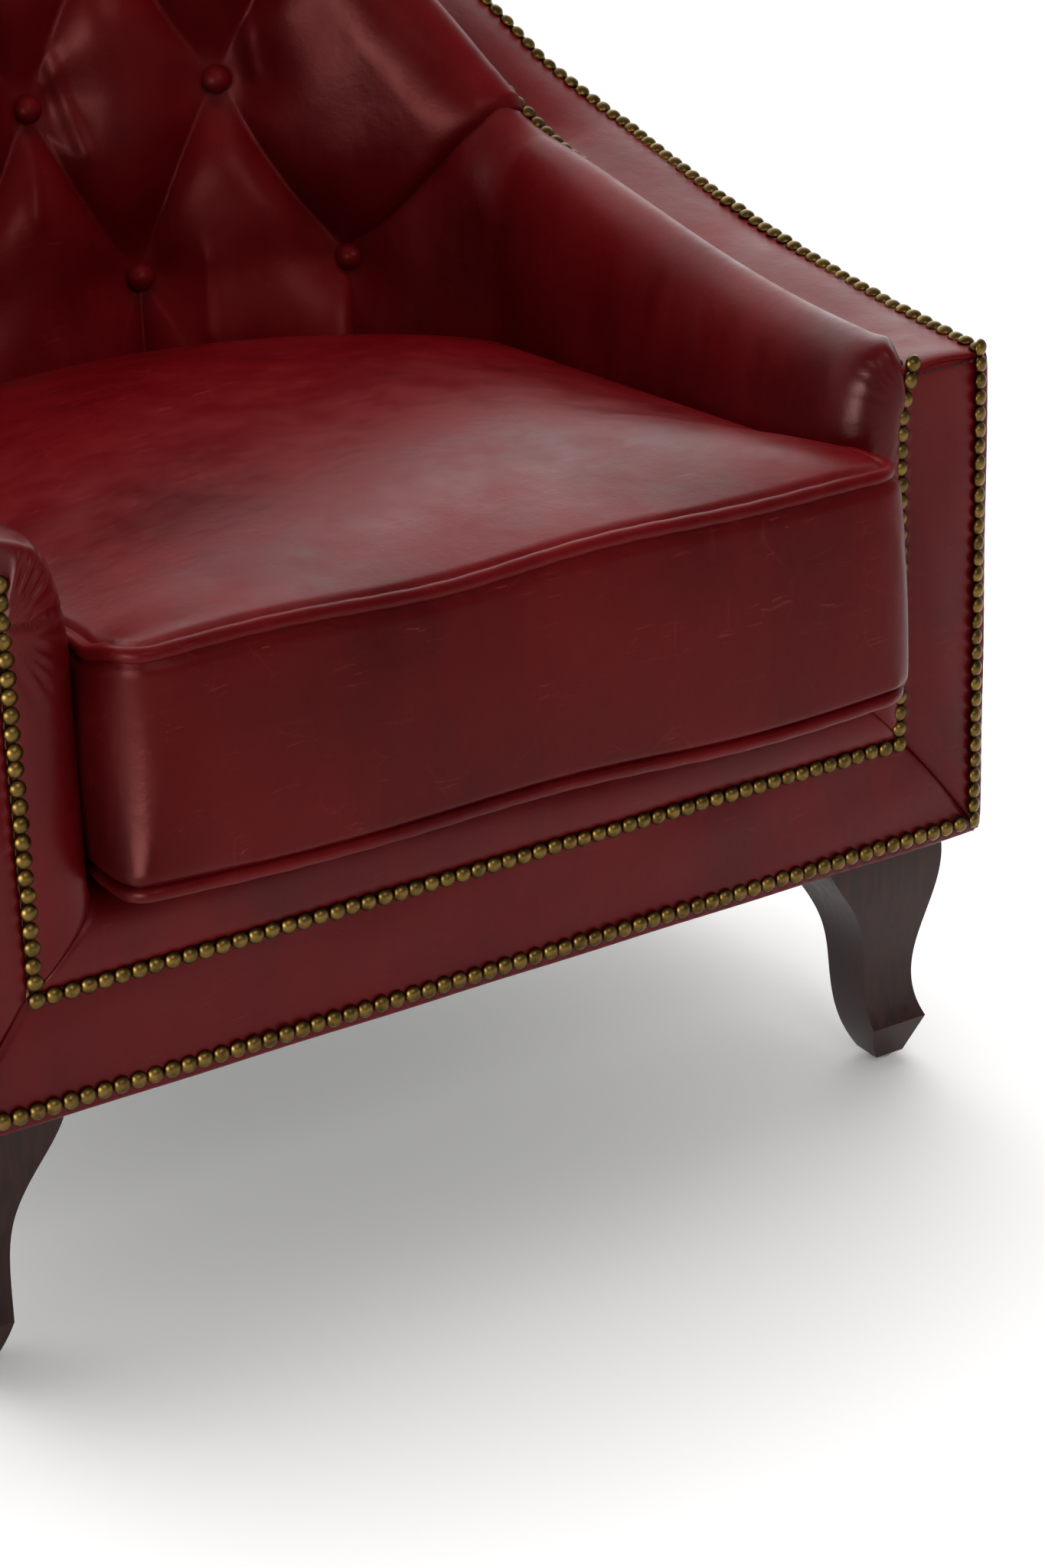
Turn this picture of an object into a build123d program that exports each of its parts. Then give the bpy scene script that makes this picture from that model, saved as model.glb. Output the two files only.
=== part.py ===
from build123d import *
import os
from math import atan2, cos, degrees, radians, sin, sqrt, tan

# Tufted leather lounge chair: a barrel-backed tub chair with low swooping arms,
# a diamond-tufted inside back, a loose boxed seat cushion and short cabriole legs.
# Millimetres, +Z up, +Y to the rear, floor at Z = 0. Right means +X, seen from the front.

os.makedirs("parts", exist_ok=True)

# Shell in plan, measured from the front plane of the arm bands
chair_width = 756.0
back_overbow = 22.0
corner_radius = 180.0
back_centre = 288.0
rake = 6.0
datum_height = 431.0

# Wall build-up
outer_skin = 3.0
band_width = 68.0
band_thickness = 4.0
pad_thickness = 46.0
fit = 0.3

# Heights
base_height = 190.0
rail_height = 74.0
arm_height = 517.0
shoulder_rise = 58.0
crest_height = 852.0

# Side profile of the swoop, unrolled along the middle of the top band
shoulder_slope = 14.5
tight_radius = 175.0
rise_slope = 44.0

# Wooden frame
rail_thickness = 26.0
back_rail_depth = 36.0
post_depth = 34.0
top_rail_thickness = 32.0
stay_rail_bottom = 306.0
stay_rail_height = 40.0
stay_rail_depth = 22.0
back_post_share = 0.81
back_post_spread = 9.0
block_height = 40.0
block_reach = 110.0

# Webbing
web_width = 50.0
web_thickness = 2.0
web_count = 6
web_landing = 20.0
cross_web_count = 4
back_web_angle = 18.0
back_web_angle_width = 9.0

# Diamond tufting of the inside back
tuft_angle = 14.2
tuft_low_row = 482.0
tuft_row_pitch = 124.0
tuft_depth = 28.0
tuft_backing = 14.0
tuft_half_fullness = 0.72
button_diameter = 22.0
button_height = 9.0

# Inside arms and the leather roll in front of the deck
pad_crown = 12.0
pad_roll = 24.0
lip_roll = 34.0
lip_proud = 6.0
lip_depth = 44.0
seam_angle = 52.0
seam_rise = 114.0
seam_reach = 130.0
pleat_spread = 30.0

# Loose seat cushion
seat_rake = 4.2
cushion_base_height = 330.0
cushion_thickness = 141.0
cushion_overhang = 60.0
cushion_corner = 30.0
cushion_flare = 18.0
cushion_flare_run = 45.0
cushion_gap = 4.0
cushion_crown = 22.0
crown_step = 40.0
crown_inset = 110.0
cushion_bulge = 4.0
welt_diameter = 11.0
boxing_thickness = 3.0

# Front legs: a squared cabriole, sawn to the same curve from two sides
leg_top = 92.0
leg_inset = 12.0
leg_setback = 42.0
knee_drop = 54.0
knee_proud = 4.0
ear_drop = 26.0
ear_depth = 6.0
brow_drop = 58.0
brow_depth = 26.0
hollow_drop = 90.0
hollow_depth = 40.0
ankle_height = 64.0
ankle_offset = 44.0
ankle_width = 40.0
toe_height = 32.0
toe_reach = 91.0
foot_offset = 58.0
foot_width = 22.0

# Rear legs: plain tapered legs swept to the rear
rear_leg_angle = 36.0
rear_leg_inset = 55.0
rear_leg_top = 50.0
rear_leg_foot = 28.0
rear_leg_sweep = 40.0

# Leg fixings and glides
glide_diameter = 15.0
glide_height = 4.0
bolt_diameter = 8.0
bolt_embed = 30.0
nut_diameter = 15.0
nut_height = 7.0

# Underside
dust_cover_thickness = 1.0
dust_cover_inset = 8.0

# Derived values of the plan and of the layers
half_width = chair_width / 2
back_radius = half_width + back_overbow
shoulder_height = arm_height + shoulder_rise
lean = tan(radians(rake))
lean_length = sqrt(1 + lean**2)
rear_y = back_centre + back_radius + lean * (crest_height - datum_height)
chair_depth = rear_y + cushion_overhang + welt_diameter / 2
front_y = -chair_depth / 2 + cushion_overhang + welt_diameter / 2
corner_x = half_width - corner_radius
corner_y = back_centre + sqrt((back_radius - corner_radius) ** 2 - corner_x**2)
junction_angle = degrees(atan2(corner_x, corner_y - back_centre))
corner_turn = 90 - junction_angle
back_post_angle = junction_angle * back_post_share
frame_outer = outer_skin + fit
frame_inner = band_width + 1.0
web_face = frame_inner - web_thickness - 2 * fit
pad_outer = frame_inner + fit
pad_inner = pad_outer + pad_thickness
rail_top = base_height + rail_height
deck_base = rail_top + 2 * web_thickness
pad_base = deck_base + fit
band_base = base_height - dust_cover_thickness
tuft_floor = pad_outer + tuft_backing
floor_radius = back_radius - tuft_floor
seat_pitch = radians(seat_rake)
seat_length = back_centre + back_radius - pad_inner
cushion_low = cushion_base_height - seat_length * tan(seat_pitch) - welt_diameter / 2
back_steps = 10
rail_joint_angle = junction_angle * 0.7
deck_gap = 0.9
very_high = 1.2 * crest_height
overrun = 100.0


# Rearward shift of the leaning shell at a given height
def slant(height):
    return lean * (height - datum_height)


# The horizontal plane at a height, carried along with the lean of the shell
def level(height):
    return Plane((0, front_y + slant(height), height))


# Plan position at an inset from the outer face and an angle from the rear centre
def plan_point(inset, angle):
    a = radians(angle)
    r = back_radius - inset
    return (r * sin(a), back_centre + r * cos(a))


# Plan position on the rounded rear corner, the turn measured from the straight arm
def corner_point(inset, turn):
    a = radians(turn)
    r = corner_radius - inset
    return (corner_x + r * cos(a), corner_y + r * sin(a))


# A point of the shell at a station (part, value), an inset and a height
def place(station, inset, height):
    part, value = station
    if part == "arm":
        return Vector(half_width - inset, front_y + value, height)
    x, y = corner_point(inset, value) if part == "corner" else plan_point(inset, value)
    return Vector(x, front_y + y + slant(height), height)


# Distance along the middle of the top band from the front to a station
def run(station):
    part, value = station
    bend = corner_y + slant(shoulder_height)
    middle = band_width / 2
    if part == "arm":
        return value
    if part == "corner":
        return bend + (corner_radius - middle) * radians(value)
    turned = bend + (corner_radius - middle) * radians(corner_turn)
    return turned + (back_radius - middle) * radians(junction_angle - value)


# Height of the swoop at a station: shallow arc, tight arc, straight rise, crest arc
def swoop(station):
    s = run(station)
    bend = corner_y + slant(shoulder_height)
    chord_slope = atan2(shoulder_rise, bend)
    end = radians(shoulder_slope)
    radius = sqrt(bend**2 + shoulder_rise**2) / 2 / sin(end - chord_slope)
    if s <= bend:
        start = 2 * chord_slope - end
        a = s + radius * sin(start)
        return arm_height + radius * cos(start) - sqrt(radius**2 - a**2)
    steep = radians(rise_slope)
    tight_run = tight_radius * (sin(steep) - sin(end))
    tight_rise = tight_radius * (cos(end) - cos(steep))
    if s <= bend + tight_run:
        a = s - bend + tight_radius * sin(end)
        return shoulder_height + tight_radius * cos(end) - sqrt(tight_radius**2 - a**2)
    total = run(("back", 0))
    left_run = total - bend - tight_run
    left_rise = crest_height - shoulder_height - tight_rise
    share = (1 - cos(steep)) / sin(steep)
    straight_run = (left_rise - left_run * share) / (tan(steep) - share)
    t = s - bend - tight_run
    if t <= straight_run:
        return shoulder_height + tight_rise + t * tan(steep)
    crest_radius = (left_run - straight_run) / sin(steep)
    return crest_height - crest_radius + sqrt(crest_radius**2 - (total - s) ** 2)


# Stations along the arm, round the corner and round the back to an angle
def stations(front, last_angle):
    path = [("arm", front)] + [("arm", corner_y * share) for share in (0.24, 0.48, 0.72, 0.89)]
    path += [("corner", corner_turn * share / 3) for share in range(3)]
    return path + back_stations(junction_angle, last_angle)


# Stations of the back only, between two angles, on one even spacing
def back_stations(first_angle, last_angle):
    angles = [junction_angle * (1 - i / back_steps) for i in range(back_steps + 1)]
    inside = [a for a in angles if last_angle + 0.5 < a <= first_angle + 0.01]
    return [("back", a) for a in inside] + [("back", last_angle)]


# Flat cross-section of the wall at a station, from insets and heights above the swoop
def slab_section(station, outer, inner, low, high):
    h = swoop(station)
    with BuildLine() as edge:
        Polyline(place(station, outer, h + low), place(station, inner, h + low),
                 place(station, inner, h + high), place(station, outer, h + high), close=True)
    return Face(edge.wire())


# Cross-section that reaches from the floor up to the swoop, used to trim what is below
def trim_section(station, outer, inner, high):
    h = swoop(station)
    with BuildLine() as edge:
        Polyline(place(station, outer, 0), place(station, inner, 0),
                 place(station, inner, h + high), place(station, outer, h + high), close=True)
    return Face(edge.wire())


# Rolled cross-section of an inside pad: upright back, rolled crown, upright face
def pad_section(station, base, inner, crown, roll):
    h = swoop(station)
    peak = pad_outer + (inner - pad_outer) * 0.42
    with BuildLine() as edge:
        Line(place(station, pad_outer, base), place(station, pad_outer, h + crown / 12))
        ThreePointArc(place(station, pad_outer, h + crown / 12), place(station, peak, h + crown),
                      place(station, inner, h - roll))
        Line(place(station, inner, h - roll), place(station, inner, base))
        Line(place(station, inner, base), place(station, pad_outer, base))
    return Face(edge.wire())


# Right-hand plan strip from the front round the corner to the start of the back
def arm_strip(height, outer, inner, front):
    with BuildSketch(level(height)) as strip:
        with BuildLine():
            start = (half_width - outer, front)
            bend = (half_width - outer, corner_y)
            joint = plan_point(outer, junction_angle)
            Line(start, bend)
            ThreePointArc(bend, corner_point(outer, corner_turn / 2), joint)
            inner_joint = plan_point(inner, junction_angle)
            inner_bend = (half_width - inner, corner_y)
            Line(joint, inner_joint)
            ThreePointArc(inner_joint, corner_point(inner, corner_turn / 2), inner_bend)
            Line(inner_bend, (half_width - inner, front))
            Line((half_width - inner, front), start)
        make_face()
    return strip.sketch


# Plan sector of the back between two insets and two angles
def back_sector(height, outer, inner, first, last):
    middle = (first + last) / 2
    with BuildSketch(level(height)) as sector:
        with BuildLine():
            ThreePointArc(plan_point(outer, first), plan_point(outer, middle), plan_point(outer, last))
            Line(plan_point(outer, last), plan_point(inner, last))
            ThreePointArc(plan_point(inner, last), plan_point(inner, middle), plan_point(inner, first))
            Line(plan_point(inner, first), plan_point(outer, first))
        make_face()
    return sector.sketch


# Everything ahead of a plane parallel to the front, as an area to cut away
def ahead_of(distance):
    with BuildSketch(Plane.XY) as area:
        with Locations((0, front_y + distance - chair_depth / 2)):
            Rectangle(2 * chair_width, chair_depth)
    return area.sketch


# Trimming block under the swoop on the right-hand side
with BuildPart() as under_bands:
    loft([trim_section(p, -overrun / 3, 2 * band_width, -band_thickness - fit)
          for p in [("arm", -overrun / 2)] + stations(0.0, 0.0)], ruled=True)

with BuildPart() as under_rails:
    loft([trim_section(p, -overrun / 3, 2 * band_width, -band_thickness - top_rail_thickness - 2 * fit)
          for p in [("arm", -overrun / 2)] + stations(0.0, 0.0)], ruled=True)

# Wooden frame: bottom rails
with BuildPart() as front_rail:
    with BuildSketch(Plane.XY.offset(base_height)):
        with Locations((0, front_y + band_thickness + rail_thickness / 2)):
            Rectangle(2 * (half_width - frame_inner), rail_thickness)
    extrude(amount=rail_height)

with BuildPart() as right_side_rail:
    side = arm_strip(base_height, frame_outer, frame_outer + rail_thickness, -overrun)
    extrude(side, amount=(rail_height + web_thickness) * lean_length, dir=(0, lean, 1))
    extrude(ahead_of(band_thickness + post_depth), amount=very_high, mode=Mode.SUBTRACT)

with BuildPart() as back_rail:
    curve = back_sector(base_height, frame_outer, frame_outer + back_rail_depth,
                        -junction_angle, junction_angle)
    extrude(curve, amount=rail_height * lean_length, dir=(0, lean, 1))

# Wooden frame: upright arm posts behind the arm bands
with BuildPart() as right_arm_post:
    with BuildSketch(Plane.XY.offset(base_height)):
        with Locations((half_width - (frame_outer + frame_inner) / 2,
                        front_y + band_thickness + post_depth / 2)):
            Rectangle(frame_inner - frame_outer, post_depth)
    extrude(amount=arm_height)
    add(under_rails.part, mode=Mode.INTERSECT)

# Wooden frame: shaped arm rails and the crest rail that follow the swoop
rail_low = -band_thickness - top_rail_thickness - fit
rail_high = -band_thickness - fit

with BuildPart() as right_arm_rail:
    loft([slab_section(p, frame_outer, web_face, rail_low, rail_high)
          for p in stations(band_thickness, rail_joint_angle)], ruled=True)

with BuildPart() as crest_rail:
    loft([slab_section(p, frame_outer, web_face, rail_low, rail_high)
          for p in back_stations(rail_joint_angle, 0.0)], ruled=True)
    mirror(about=Plane.YZ)

# Wooden frame: back posts between the back rail and the crest
with BuildPart() as right_back_post:
    upright = back_sector(rail_top, frame_outer, web_face - stay_rail_depth - fit,
                          back_post_angle - back_post_spread / 2,
                          back_post_angle + back_post_spread / 2)
    extrude(upright, amount=very_high, dir=(0, lean, 1))
    add(under_rails.part, mode=Mode.INTERSECT)

# Wooden frame: stay rails at deck height that the inside covers are pulled down to
with BuildPart() as back_stay_rail:
    curve = back_sector(stay_rail_bottom, web_face - stay_rail_depth, web_face,
                        -junction_angle, junction_angle)
    extrude(curve, amount=stay_rail_height * lean_length, dir=(0, lean, 1))

with BuildPart() as right_stay_rail:
    strip = arm_strip(stay_rail_bottom, frame_inner - stay_rail_depth, frame_inner, -overrun)
    extrude(strip, amount=stay_rail_height * lean_length, dir=(0, lean, 1))
    extrude(ahead_of(band_thickness + post_depth), amount=very_high, mode=Mode.SUBTRACT)

# Seat webbing: long straps on the front and back rails, cross straps on the side rails
with BuildPart() as seat_webbing:
    back_middle = back_radius - frame_outer - back_rail_depth / 2
    start_y = front_y + band_thickness + rail_thickness - web_landing
    web_pitch = 2 * (half_width - frame_inner) / (web_count + 0.7)
    for i in range(web_count):
        x = (i - (web_count - 1) / 2) * web_pitch
        end_y = front_y + back_centre + slant(rail_top) + sqrt(back_middle**2 - x**2)
        with BuildSketch(Plane.XY.offset(rail_top)):
            with Locations((x, (start_y + end_y) / 2)):
                Rectangle(web_width, end_y - start_y)
        extrude(amount=web_thickness)

with BuildPart() as cross_webbing:
    cross_web_pitch = corner_y / (cross_web_count + 0.5)
    with BuildSketch(Plane.XY.offset(rail_top + web_thickness)):
        for i in range(cross_web_count):
            with Locations((0, front_y + (i + 1.1) * cross_web_pitch)):
                Rectangle(2 * (half_width - frame_outer - rail_thickness + web_landing), web_width)
    extrude(amount=web_thickness)

# Back webbing: upright straps from the stay rail to the crest rail
with BuildPart() as right_back_web:
    for i in (0.5, 1.5, 2.5):
        strap = back_sector(stay_rail_bottom, frame_inner - web_thickness, frame_inner,
                            i * back_web_angle - back_web_angle_width / 2,
                            i * back_web_angle + back_web_angle_width / 2)
        extrude(strap, amount=very_high, dir=(0, lean, 1))
    add(under_bands.part, mode=Mode.INTERSECT)

with BuildPart() as back_webbing:
    add(right_back_web.part)
    mirror(right_back_web.part, about=Plane.YZ)

# Outside covers: flat outside arms and the curved outside back
with BuildPart() as right_outside_arm:
    strip = arm_strip(band_base, 0.0, outer_skin, -overrun)
    extrude(strip, amount=very_high, dir=(0, lean, 1))
    extrude(ahead_of(band_thickness), amount=2 * very_high, mode=Mode.SUBTRACT)
    add(under_bands.part, mode=Mode.INTERSECT)

with BuildPart() as outside_back:
    curve = back_sector(band_base, 0.0, outer_skin, 0.0, junction_angle)
    extrude(curve, amount=very_high, dir=(0, lean, 1))
    add(under_bands.part, mode=Mode.INTERSECT)
    mirror(about=Plane.YZ)

# Leather bands: the mitred front border and the band along the arms and back
mitre_top = deck_base

with BuildPart() as front_band:
    with BuildSketch(Plane.XZ.offset(-front_y)):
        with BuildLine():
            Polyline((-half_width, band_base), (half_width, band_base),
                     (half_width - band_width, mitre_top), (band_width - half_width, mitre_top), close=True)
        make_face()
    extrude(amount=-band_thickness)

with BuildPart() as right_arm_band:
    with BuildSketch(Plane.XZ.offset(-front_y)):
        with BuildLine():
            Polyline((half_width, band_base), (half_width, arm_height + band_width),
                     (half_width - band_width, arm_height + band_width),
                     (half_width - band_width, mitre_top), close=True)
        make_face()
    extrude(amount=-band_thickness)
    add(under_bands.part, mode=Mode.INTERSECT)

with BuildPart() as right_top_band:
    loft([slab_section(p, 0.0, band_width, -band_thickness, 0.0)
          for p in stations(0.0, 0.0)], ruled=True)

# Leather roll in front of the deck, mitred to the rolls of the inside arms
lip_top = cushion_base_height - (lip_depth - slant(cushion_low)) * tan(seat_pitch) - welt_diameter / 2 - 2 * fit
lip_half = half_width - pad_outer

with BuildPart() as front_roll:
    with BuildSketch(Plane.YZ):
        with Locations((front_y + (lip_depth - lip_proud) / 2, (pad_base + lip_top) / 2)):
            Rectangle(lip_depth + lip_proud, lip_top - pad_base)
    extrude(amount=lip_half, both=True)
    front_edges = edges().filter_by(Axis.X).group_by(Axis.Y)[0]
    fillet(front_edges.sort_by(Axis.Z)[-1], radius=(lip_top - pad_base) * 0.66)
    low_edge = edges().filter_by(Axis.X).group_by(Axis.Y)[0].sort_by(Axis.Z)[0]
    fillet(low_edge, radius=lip_proud)
    with BuildSketch(Plane.XZ):
        with BuildLine():
            Polyline((-lip_half, pad_base), (lip_half, pad_base),
                     (lip_half - lip_top + pad_base, lip_top), (lip_top - pad_base - lip_half, lip_top),
                     close=True)
        make_face()
    extrude(amount=chair_depth, both=True, mode=Mode.INTERSECT)

# Seam between the inside back and the inside arm: upright below the corner button,
# then slanting forward to the top band. The area lies on the arm's side of it.
corner_button_angle = 3 * tuft_angle


def seam_area():
    n = radians(seam_angle)
    frame = Plane(origin=(0, front_y + back_centre, 0),
                  x_dir=(-cos(n), sin(n), 0), z_dir=(sin(n), cos(n), 0))
    b = radians(corner_button_angle)
    bx = floor_radius * sin(b)
    by = floor_radius * cos(b) + slant(tuft_low_row)
    u = by * sin(n) - bx * cos(n)
    wide = chair_width
    with BuildSketch(frame) as area:
        with BuildLine():
            Polyline((u, 0), (u, tuft_low_row), (u - seam_reach, tuft_low_row + seam_rise),
                     (u - 2 * seam_reach, tuft_low_row + 3 * seam_rise),
                     (u - wide, tuft_low_row + 3 * seam_rise), (u - wide, 0), close=True)
        make_face()
    return area.sketch


corner_button = place(("back", corner_button_angle), tuft_floor, tuft_low_row)
seam_out = Vector(sin(radians(seam_angle)), cos(radians(seam_angle)), 0)
seam_along = Vector(cos(radians(seam_angle)), -sin(radians(seam_angle)), 0)
seam_slope = seam_along * seam_reach + Vector(0, 0, seam_rise)

# Inside arms: padded panels with a rolled top and a rolled front edge, drawn down
# to the pleat at the seam
with BuildPart() as right_inside_arm:
    path = []
    for share in (0.0, 0.18, 0.5, 1.0):
        v = -lip_proud + lip_roll * share
        bend = 1 - sqrt(1 - (1 - share) ** 2)
        inner = pad_inner - (pad_thickness - 10.0) * bend
        crown = pad_crown - (pad_crown + 4.0) * bend
        roll = pad_roll + 6.0 * bend
        path.append(pad_section(("arm", v), pad_base, inner, crown, roll))
    for p in stations(0.0, 38.0)[1:]:
        path.append(pad_section(p, pad_base, pad_inner, pad_crown, pad_roll))
    loft(path, ruled=True)
    with BuildSketch(Plane.XZ.offset(-front_y - lip_depth)):
        with BuildLine():
            Polyline((lip_half + 1, pad_base - 1), (lip_half - pad_thickness - 2, pad_base - 1),
                     (lip_half - pad_thickness - 2, pad_base + pad_thickness + 2), close=True)
        make_face()
    extrude(amount=lip_depth * 2, mode=Mode.SUBTRACT)
    extrude(seam_area(), amount=chair_width, mode=Mode.INTERSECT)
    for direction, length in ((seam_slope, seam_reach * 2), (Vector(0, lean, 1), -very_high)):
        with BuildSketch(Plane(origin=corner_button, x_dir=seam_out, z_dir=direction)):
            with BuildLine():
                Polyline((0, 0), (-pad_thickness, pleat_spread), (-pad_thickness, -pleat_spread), close=True)
            make_face()
        extrude(amount=length, mode=Mode.SUBTRACT)
    with Locations(Plane(origin=corner_button, z_dir=-seam_out).location):
        Cone(button_diameter / 2 + 2 * fit, pleat_spread, pad_thickness,
             align=(Align.CENTER, Align.CENTER, Align.MIN), mode=Mode.SUBTRACT)

# Inside back: diamond tufting. Each pillow swells between four buttons and is drawn
# down to the backing along the pleats that join them.


# Lens-shaped level section of a pillow between two angles
def pillow_section(height, first, last, fullness):
    middle = (first + last) / 2
    with BuildSketch(level(height)) as lens:
        with BuildLine():
            a = plan_point(tuft_floor, first)
            b = plan_point(tuft_floor, last)
            ThreePointArc(a, plan_point(tuft_floor + tuft_depth * fullness, middle), b)
            ThreePointArc(b, plan_point(tuft_floor - 4.0, middle), a)
        make_face()
    return lens.sketch


# Button position as a point of the tufting floor
def button_point(angle, height):
    return Vertex(place(("back", angle), tuft_floor, height))


row_1 = tuft_low_row
row_2 = tuft_low_row + tuft_row_pitch
row_3 = tuft_low_row + 2 * tuft_row_pitch
half_low = (row_1 + row_2) / 2
half_high = (row_2 + row_3) / 2
pillow_top = crest_height + 40.0
full = 1.0
part_full = tuft_half_fullness
border_angle = junction_angle + 4.3

button_spots = ((tuft_angle, row_1), (3 * tuft_angle, row_1), (0.0, row_2), (2 * tuft_angle, row_2),
                (tuft_angle, row_3))


# Seat of a button on the backing, facing the sitter
def button_plane(angle, height, clear):
    a = radians(angle)
    seat = place(("back", angle), tuft_floor + 2.0 + clear, height)
    return Plane(seat, x_dir=(cos(a), -sin(a), 0), z_dir=(-sin(a), -cos(a), 0))


# Rolled crown that trims the top of the tufting, with room behind it
def crown_section(station):
    h = swoop(station)
    peak = pad_outer + pad_thickness * 0.42
    behind = pad_outer - 10.0
    with BuildLine() as edge:
        Line(place(station, behind, 0), place(station, behind, h + 1))
        Line(place(station, behind, h + 1), place(station, pad_outer, h + 1))
        ThreePointArc(place(station, pad_outer, h + 1), place(station, peak, h + pad_crown),
                      place(station, pad_inner, h - pad_roll))
        Line(place(station, pad_inner, h - pad_roll), place(station, pad_inner + 20.0, h - pad_roll - 60.0))
        Line(place(station, pad_inner + 20.0, h - pad_roll - 60.0), place(station, pad_inner + 20.0, 0))
        Line(place(station, pad_inner + 20.0, 0), place(station, behind, 0))
    return Face(edge.wire())


with BuildPart() as under_pads:
    loft([crown_section(p) for p in stations(0.0, 0.0)[5:]], ruled=True)
    split(bisect_by=Plane.YZ, keep=Keep.TOP)

with BuildPart() as inside_back:
    backing = back_sector(pad_base, pad_outer, tuft_floor + 2.0, 0.0, border_angle)
    extrude(backing, amount=(pillow_top - pad_base) * lean_length, dir=(0, lean, 1))
    t = tuft_angle
    for c in (0.0, 2 * t):
        loft([pillow_section(pad_base, c - t, c + t, full), pillow_section(row_1, c - t, c + t, full),
              pillow_section(half_low, c - t / 2, c + t / 2, part_full), button_point(c, row_2)], ruled=True)
        loft([button_point(c, row_2), pillow_section(half_high, c - t / 2, c + t / 2, part_full),
              pillow_section(row_3, c - t, c + t, full), pillow_section(pillow_top, c - t, c + t, full)],
             ruled=True)
    loft([button_point(t, row_1), pillow_section(half_low, t / 2, 1.5 * t, part_full),
          pillow_section(row_2, 0, 2 * t, full)], ruled=True)
    loft([pillow_section(row_2, 0, 2 * t, full), pillow_section(half_high, t / 2, 1.5 * t, part_full),
          button_point(t, row_3)], ruled=True)
    loft([button_point(3 * t, row_1),
          pillow_section(half_low, 2.5 * t, 1.5 * t + border_angle / 2, part_full),
          pillow_section(row_2, 2 * t, border_angle, full),
          pillow_section(row_3, 3 * t, border_angle, full)], ruled=True)
    with Locations(*[button_plane(angle, height, 0.0).location for angle, height in button_spots]):
        Cylinder(button_diameter / 2 + fit, tuft_depth * 2,
                 align=(Align.CENTER, Align.CENTER, Align.MIN), mode=Mode.SUBTRACT)
    add(under_pads.part, mode=Mode.INTERSECT)
    extrude(seam_area(), amount=chair_width, mode=Mode.SUBTRACT)
    split(bisect_by=Plane.YZ, keep=Keep.TOP)
    mirror(about=Plane.YZ)

# Covered buttons, one domed button seated in each pocket of the tufting
with BuildPart() as button:
    Cylinder(button_diameter / 2, button_height, align=(Align.CENTER, Align.CENTER, Align.MIN))
    chamfer(edges().group_by(Axis.Z)[-1], length=button_height / 2, length2=button_diameter / 6)

with BuildPart() as back_buttons:
    spots = [(angle * side, height) for angle, height in button_spots for side in (1, -1)
             if angle > 0 or side > 0]
    with Locations(*[button_plane(angle, height, fit).location for angle, height in spots]):
        add(button.part)


# Plan outline that follows the inside of the shell, closed by a straight front,
# which may flare out past the arms
def tub_outline(plane, inset, front, front_corner, flare=0.0):
    side = half_width - inset
    wide = side + flare
    flare_end = front + front_corner + cushion_flare_run
    rear = back_radius - inset
    bend = max(corner_radius - inset, 8.0)
    bend_x = side - bend
    bend_y = back_centre + sqrt((rear - bend) ** 2 - bend_x**2)
    reach = sqrt(bend_x**2 + (bend_y - back_centre) ** 2)
    joint = Vector(bend_x / reach * rear, back_centre + (bend_y - back_centre) / reach * rear)
    half = atan2(bend_y - back_centre, bend_x) / 2
    middle = Vector(bend_x + bend * cos(half), bend_y + bend * sin(half))
    nook = front_corner * (1 - sqrt(0.5))
    with BuildSketch(plane) as outline:
        with BuildLine():
            Line((front_corner - wide, front), (wide - front_corner, front))
            ThreePointArc((wide - front_corner, front), (wide - nook, front + nook),
                          (wide, front + front_corner))
            Line((wide, front + front_corner), (side, flare_end))
            Line((side, flare_end), (side, bend_y))
            ThreePointArc((side, bend_y), (middle.X, middle.Y), (joint.X, joint.Y))
            ThreePointArc((joint.X, joint.Y), (0, back_centre + rear), (-joint.X, joint.Y))
            ThreePointArc((-joint.X, joint.Y), (-middle.X, middle.Y), (-side, bend_y))
            Line((-side, bend_y), (-side, flare_end))
            Line((-side, flare_end), (-wide, front + front_corner))
            ThreePointArc((-wide, front + front_corner), (nook - wide, front + nook),
                          (front_corner - wide, front))
        make_face()
    return outline.sketch


# Seat cushion: everything is set out on a plane tilted by the rake of the seat
cushion_plane = Plane(origin=(0, front_y + slant(cushion_low), cushion_base_height),
                      x_dir=(1, 0, 0), z_dir=(0, sin(seat_pitch), cos(seat_pitch)))
welt_radius = welt_diameter / 2
welt_inset = pad_inner + cushion_gap + welt_radius
cushion_front = -cushion_overhang - slant(cushion_low)
seam_clear = welt_radius + fit


# Level outline of the cushion, inset from the line of the welts
def cushion_outline(lift, inset):
    corner = max(cushion_corner - inset, 10.0)
    flare = cushion_flare * max(1 - inset / 80.0, 0.05)
    return tub_outline(cushion_plane.offset(lift), welt_inset + inset, cushion_front + inset, corner, flare)


# Welt: a leather-covered cord along the outline
def welt_path(lift):
    return cushion_outline(lift, 0.0).face().outer_wire()


with BuildPart() as cushion_bottom_welt:
    path = welt_path(0.0)
    with BuildSketch(Plane(origin=path @ 0, z_dir=path % 0)):
        Circle(welt_radius)
    sweep(path=path)

with BuildPart() as cushion_top_welt:
    path = welt_path(cushion_thickness)
    with BuildSketch(Plane(origin=path @ 0, z_dir=path % 0)):
        Circle(welt_radius)
    sweep(path=path)

with BuildPart() as cushion_boxing:
    loft([cushion_outline(seam_clear + fit, 1.0), cushion_outline(cushion_thickness / 2, -cushion_bulge),
          cushion_outline(cushion_thickness - seam_clear - fit, 1.0)], ruled=True)
    extrude(cushion_outline(0.0, 1.0 + boxing_thickness), amount=cushion_thickness, dir=cushion_plane.z_dir,
            mode=Mode.SUBTRACT)

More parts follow.
